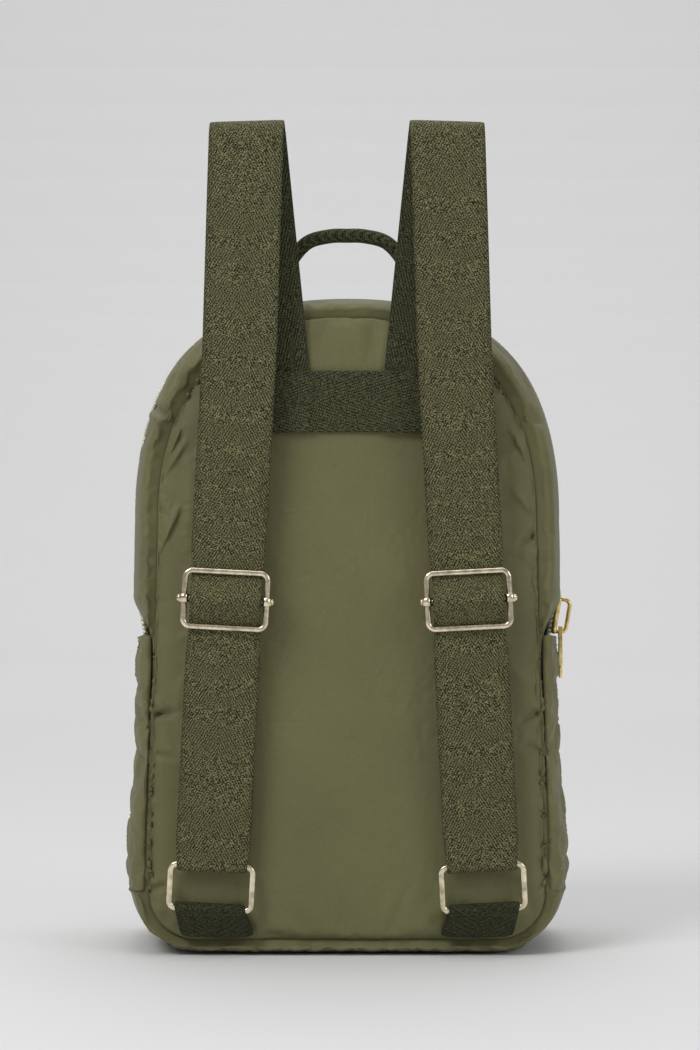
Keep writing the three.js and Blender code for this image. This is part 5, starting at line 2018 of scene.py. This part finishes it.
@dataclass
class Stitching:
    """Rows of thread stitches that lie on finished pieces."""

    length: float = 0.0024
    gap: float = 0.0007
    radius: float = 0.00022

    def row(self, bm: Mesh, points: Sequence[Vector], lift: Sequence[Vector]) -> None:
        """Adds one row of stitches along a line of points.

        Args:
            bm: The mesh that takes the stitches.
            points: The line.
            lift: The surface's outward direction at each point.
        """
        pitch = self.length + self.gap
        travelled = 0.0
        goal = pitch / 2
        for k in range(len(points) - 1):
            step = points[k + 1] - points[k]
            while step.length > 0 and travelled + step.length >= goal:
                share = (goal - travelled) / step.length
                self._stitch(bm, points[k].lerp(points[k + 1], share), step.normalized(), lift[k])
                goal += pitch
            travelled += step.length

    def _stitch(self, bm: Mesh, place: Vector, along: Vector, out: Vector) -> None:
        """Adds one stitch."""
        side = out.cross(along).normalized()
        up = along.cross(side)
        axes = Matrix((
            (along.x, side.x, up.x, place.x),
            (along.y, side.y, up.y, place.y),
            (along.z, side.z, up.z, place.z),
            (0, 0, 0, 1),
        ))
        size = Matrix.Diagonal((self.length / 2, self.radius * 1.3, self.radius, 1.0))
        bmesh.ops.create_icosphere(bm, subdivisions=1, radius=1.0, matrix=axes @ size)

    def on_surface(
        self, obj: bpy.types.Object, points: Sequence[Vector]
    ) -> tuple[list[Vector], list[Vector]]:
        """Moves a line of points on to a piece's surface.

        Args:
            obj: The piece.
            points: The line, near the surface.

        Returns:
            The points on the surface, and the surface's outward direction at each.
        """
        bpy.context.view_layer.update()
        shown = obj.evaluated_get(bpy.context.evaluated_depsgraph_get())
        places, lifts = [], []
        for point in points:
            found, spot, normal, _ = shown.closest_point_on_mesh(point)
            if found:
                places.append(spot + normal * self.radius * 0.3)
                lifts.append(normal)
        return places, lifts

    def sew(
        self,
        name: str,
        obj: bpy.types.Object,
        lines: Sequence[Sequence[Vector]],
        finish: Thread,
        slot: Slot,
    ) -> None:
        """Makes one piece of all the rows that lie on another piece.

        Args:
            name: The stitches' name.
            obj: The piece that they lie on.
            lines: The rows, near its surface.
            finish: The thread.
            slot: The record's slot that the finish stands for.
        """
        bm = bmesh.new()
        for line in lines:
            self.row(bm, *self.on_surface(obj, line))
        WORKSHOP.piece(name, bm, [finish], slot)


def line_between(start: Vector, end: Vector, count: int = 40) -> list[Vector]:
    """Evenly spaced points on a straight line."""
    return [start.lerp(end, k / count) for k in range(count + 1)]


def sew_all(pieces: dict[str, bpy.types.Object]) -> None:
    """Adds the stitching that shows."""
    stitches = Stitching()
    inset = 0.0021
    low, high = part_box("yoke")
    face = FORM.back_face - 0.006
    half = Yoke.half_width - inset
    rise = Yoke.rise
    bottom = [
        Vector((x, face, low.z + inset + rise * (1 - (x / Yoke.half_width) ** 2)))
        for x in (lerp(-half, half, k / 80) for k in range(81))
    ]
    top = line_between(Vector((-half, face, high.z - inset)), Vector((half, face, high.z - inset)), 80)
    ends = [
        line_between(Vector((s * half, face, low.z + inset)), Vector((s * half, face, high.z - inset)))
        for s in (-1, 1)
    ]
    stitches.sew("yoke_stitches", pieces["yoke"], [bottom, top, *ends], DARK_THREAD, Slot.WEBBING)
    for side in Side:
        tab = pieces[f"tab_{side.label}"]
        middle = side.value * (LINE.at(0.017)[0] - RingTab.foot_shift * 0.6)
        width = WEB.width / 2 - 0.0012
        height = 0.0175
        row = line_between(Vector((middle - width, -0.08, height)), Vector((middle + width, -0.08, height)))
        stitches.sew(f"ring_tab_{side.label}_stitches", tab, [row], DARK_THREAD, Slot.WEBBING)
        pocket = pieces[f"pocket_{side.label}"]
        hem = []
        for k in range(61):
            across = lerp(0.06, 0.94, k / 60)
            height = FORM.hem_height - 0.0055 - FORM.hem_dip * math.sin(math.pi * across)
            spot = FORM.place(FORM.side(height), across, FORM.pocket_low_bulge + 0.006)
            hem.append(Vector((side.value * spot.x, spot.y, spot.z)))
        stitches.sew(f"side_pocket_{side.label}_stitches", pocket, [hem], OLIVE_THREAD, Slot.QUILTED_NYLON)
    for name, toward in (("rear", -1), ("front", 1)):
        line = []
        for k in range(401):
            station = FORM.over_top.at(lerp(0.045, 0.955, k / 400))
            across = 0.5 + toward * (FORM.zip_gap / 2 + 0.0018) / FORM.depth_at(station.z)
            line.append(FORM.place(station, across, FORM.full_offset(station, across) + 0.002))
        strip = pieces[f"strip_{name}"]
        stitches.sew(f"zip_strip_{name}_stitches", strip, [line], OLIVE_THREAD, Slot.SMOOTH_NYLON)


# Studio


@dataclass
class Studio:
    """A plain pale studio, and the camera at the photograph's angle."""

    camera_distance: float = 1.6
    strap_plane: float = -0.080
    camera_height: float = 0.218
    picture_height: float = 0.525
    centre_x: float = 0.0015
    sensor: float = 36.0
    floor_colour: Colour = (0.77, 0.77, 0.775)
    floor_half_width: float = 5.0
    floor_near: float = -3.5
    floor_length: float = 12.0
    floor_rows: int = 160
    bend_radius: float = 1.2
    bend_start: float = 3.4
    world_strength: float = 0.34

    def build(self) -> None:
        """Makes the camera, the floor and the lights."""
        bpy.context.scene.view_settings.view_transform = "Standard"
        self._camera()
        self._floor()
        self._world()
        front, behind = Vector((0, 0, 0.18)), Vector((0, 4.6, 0.6))
        self._light("key", Vector((-0.85, -1.2, 1.35)), front, 0.8, 14.5)
        self._light("fill", Vector((1.7, -1.5, 0.9)), front, 0.9, 9)
        self._light("top", Vector((0.1, 0.1, 2.0)), front, 1.4, 12)
        self._light("backdrop", Vector((0, 2.8, 3.4)), behind, 3.2, 64)

    def _camera(self) -> None:
        """A level camera behind the straps."""
        data = bpy.data.cameras.new("camera")
        data.sensor_width = self.sensor
        data.lens = self.sensor * self.camera_distance / self.picture_height
        data.dof.use_dof = False
        camera = bpy.data.objects.new("camera", data)
        bpy.context.scene.collection.objects.link(camera)
        camera.location = (self.centre_x, self.strap_plane - self.camera_distance, self.camera_height)
        camera.rotation_euler = (math.pi / 2, 0, 0)
        bpy.context.scene.camera = camera

    def _floor(self) -> None:
        """A floor that curves up into a backdrop."""
        bm = bmesh.new()
        bmesh.ops.create_grid(bm, x_segments=1, y_segments=self.floor_rows, size=1.0)
        radius, back = self.bend_radius, self.bend_start
        for vertex in bm.verts:
            reach = (vertex.co.y + 1) * self.floor_length / 2 + self.floor_near
            angle = clamp((reach - back) / radius, 0, math.pi / 2)
            past = max(0.0, reach - back - radius * math.pi / 2)
            y = min(reach, back) + radius * math.sin(angle)
            rise = radius * (1 - math.cos(angle)) + past - 0.0002
            vertex.co = Vector((vertex.co.x * self.floor_half_width, y, rise))
        graph = Graph("studio_paper", {"Roughness": 0.9, "Specular IOR Level": 0.1})
        shade = graph.noise(0.8, 1.0)
        darker = tuple(0.985 * c for c in self.floor_colour)
        material = graph.finish(Base_Color=graph.mix(shade, darker, self.floor_colour))
        mesh = bpy.data.meshes.new("studio_floor")
        bmesh.ops.recalc_face_normals(bm, faces=bm.faces)
        bm.to_mesh(mesh)
        bm.free()
        mesh.materials.append(material)
        obj = bpy.data.objects.new("studio_floor", mesh)
        bpy.context.scene.collection.objects.link(obj)

    def _world(self) -> None:
        """Even light from all round."""
        world = bpy.data.worlds.new("studio")
        world.use_nodes = True
        background = world.node_tree.nodes["Background"]
        background.inputs["Color"].default_value = (1.0, 1.0, 1.0, 1.0)
        background.inputs["Strength"].default_value = self.world_strength
        bpy.context.scene.world = world

    def _light(self, name: str, place: Vector, goal: Vector, size: float, power: float) -> None:
        """A soft square light that faces a goal."""
        data = bpy.data.lights.new(name, "AREA")
        data.size = size
        data.energy = power
        light = bpy.data.objects.new(name, data)
        bpy.context.scene.collection.objects.link(light)
        light.location = place
        aim = goal - place
        light.rotation_euler = aim.to_track_quat("-Z", "Y").to_euler()


def main() -> None:
    """Builds every sub-assembly in order and reports each piece."""
    logging.basicConfig(level=logging.INFO, format="%(name)s: %(message)s")
    Studio().build()
    back, front, gusset = BackPanel(), FrontPanel(), Gusset()
    pockets = {side: SidePocket(side) for side in Side}
    back_cloth, front_cloth = back.build(), front.build()
    strips = {"rear": gusset.strip(True), "front": gusset.strip(False)}
    lower = gusset.lower()
    pocket_cloths = {side: pocket.build() for side, pocket in pockets.items()}
    TAILOR.run()
    back.close(back_cloth)
    front.close(front_cloth)
    for cloth in (*strips.values(), lower):
        gusset.close(cloth)
    for side, pocket in pockets.items():
        pocket.close(pocket_cloths[side])
    pieces = {f"strip_{name}": obj for name, obj in strips.items()}
    pieces["yoke"] = Yoke().build()
    CarryHandle().build()
    for side in Side:
        ShoulderStrap(side).build()
        pieces[f"tab_{side.label}"] = RingTab(side).build()
        pieces[f"pocket_{side.label}"] = pocket_cloths[side]
        Buckle(side).build()
        Ring(side).build()
    Zip().build()
    ZipSlider().build()
    sew_all(pieces)


if __name__ == "__main__":
    main()
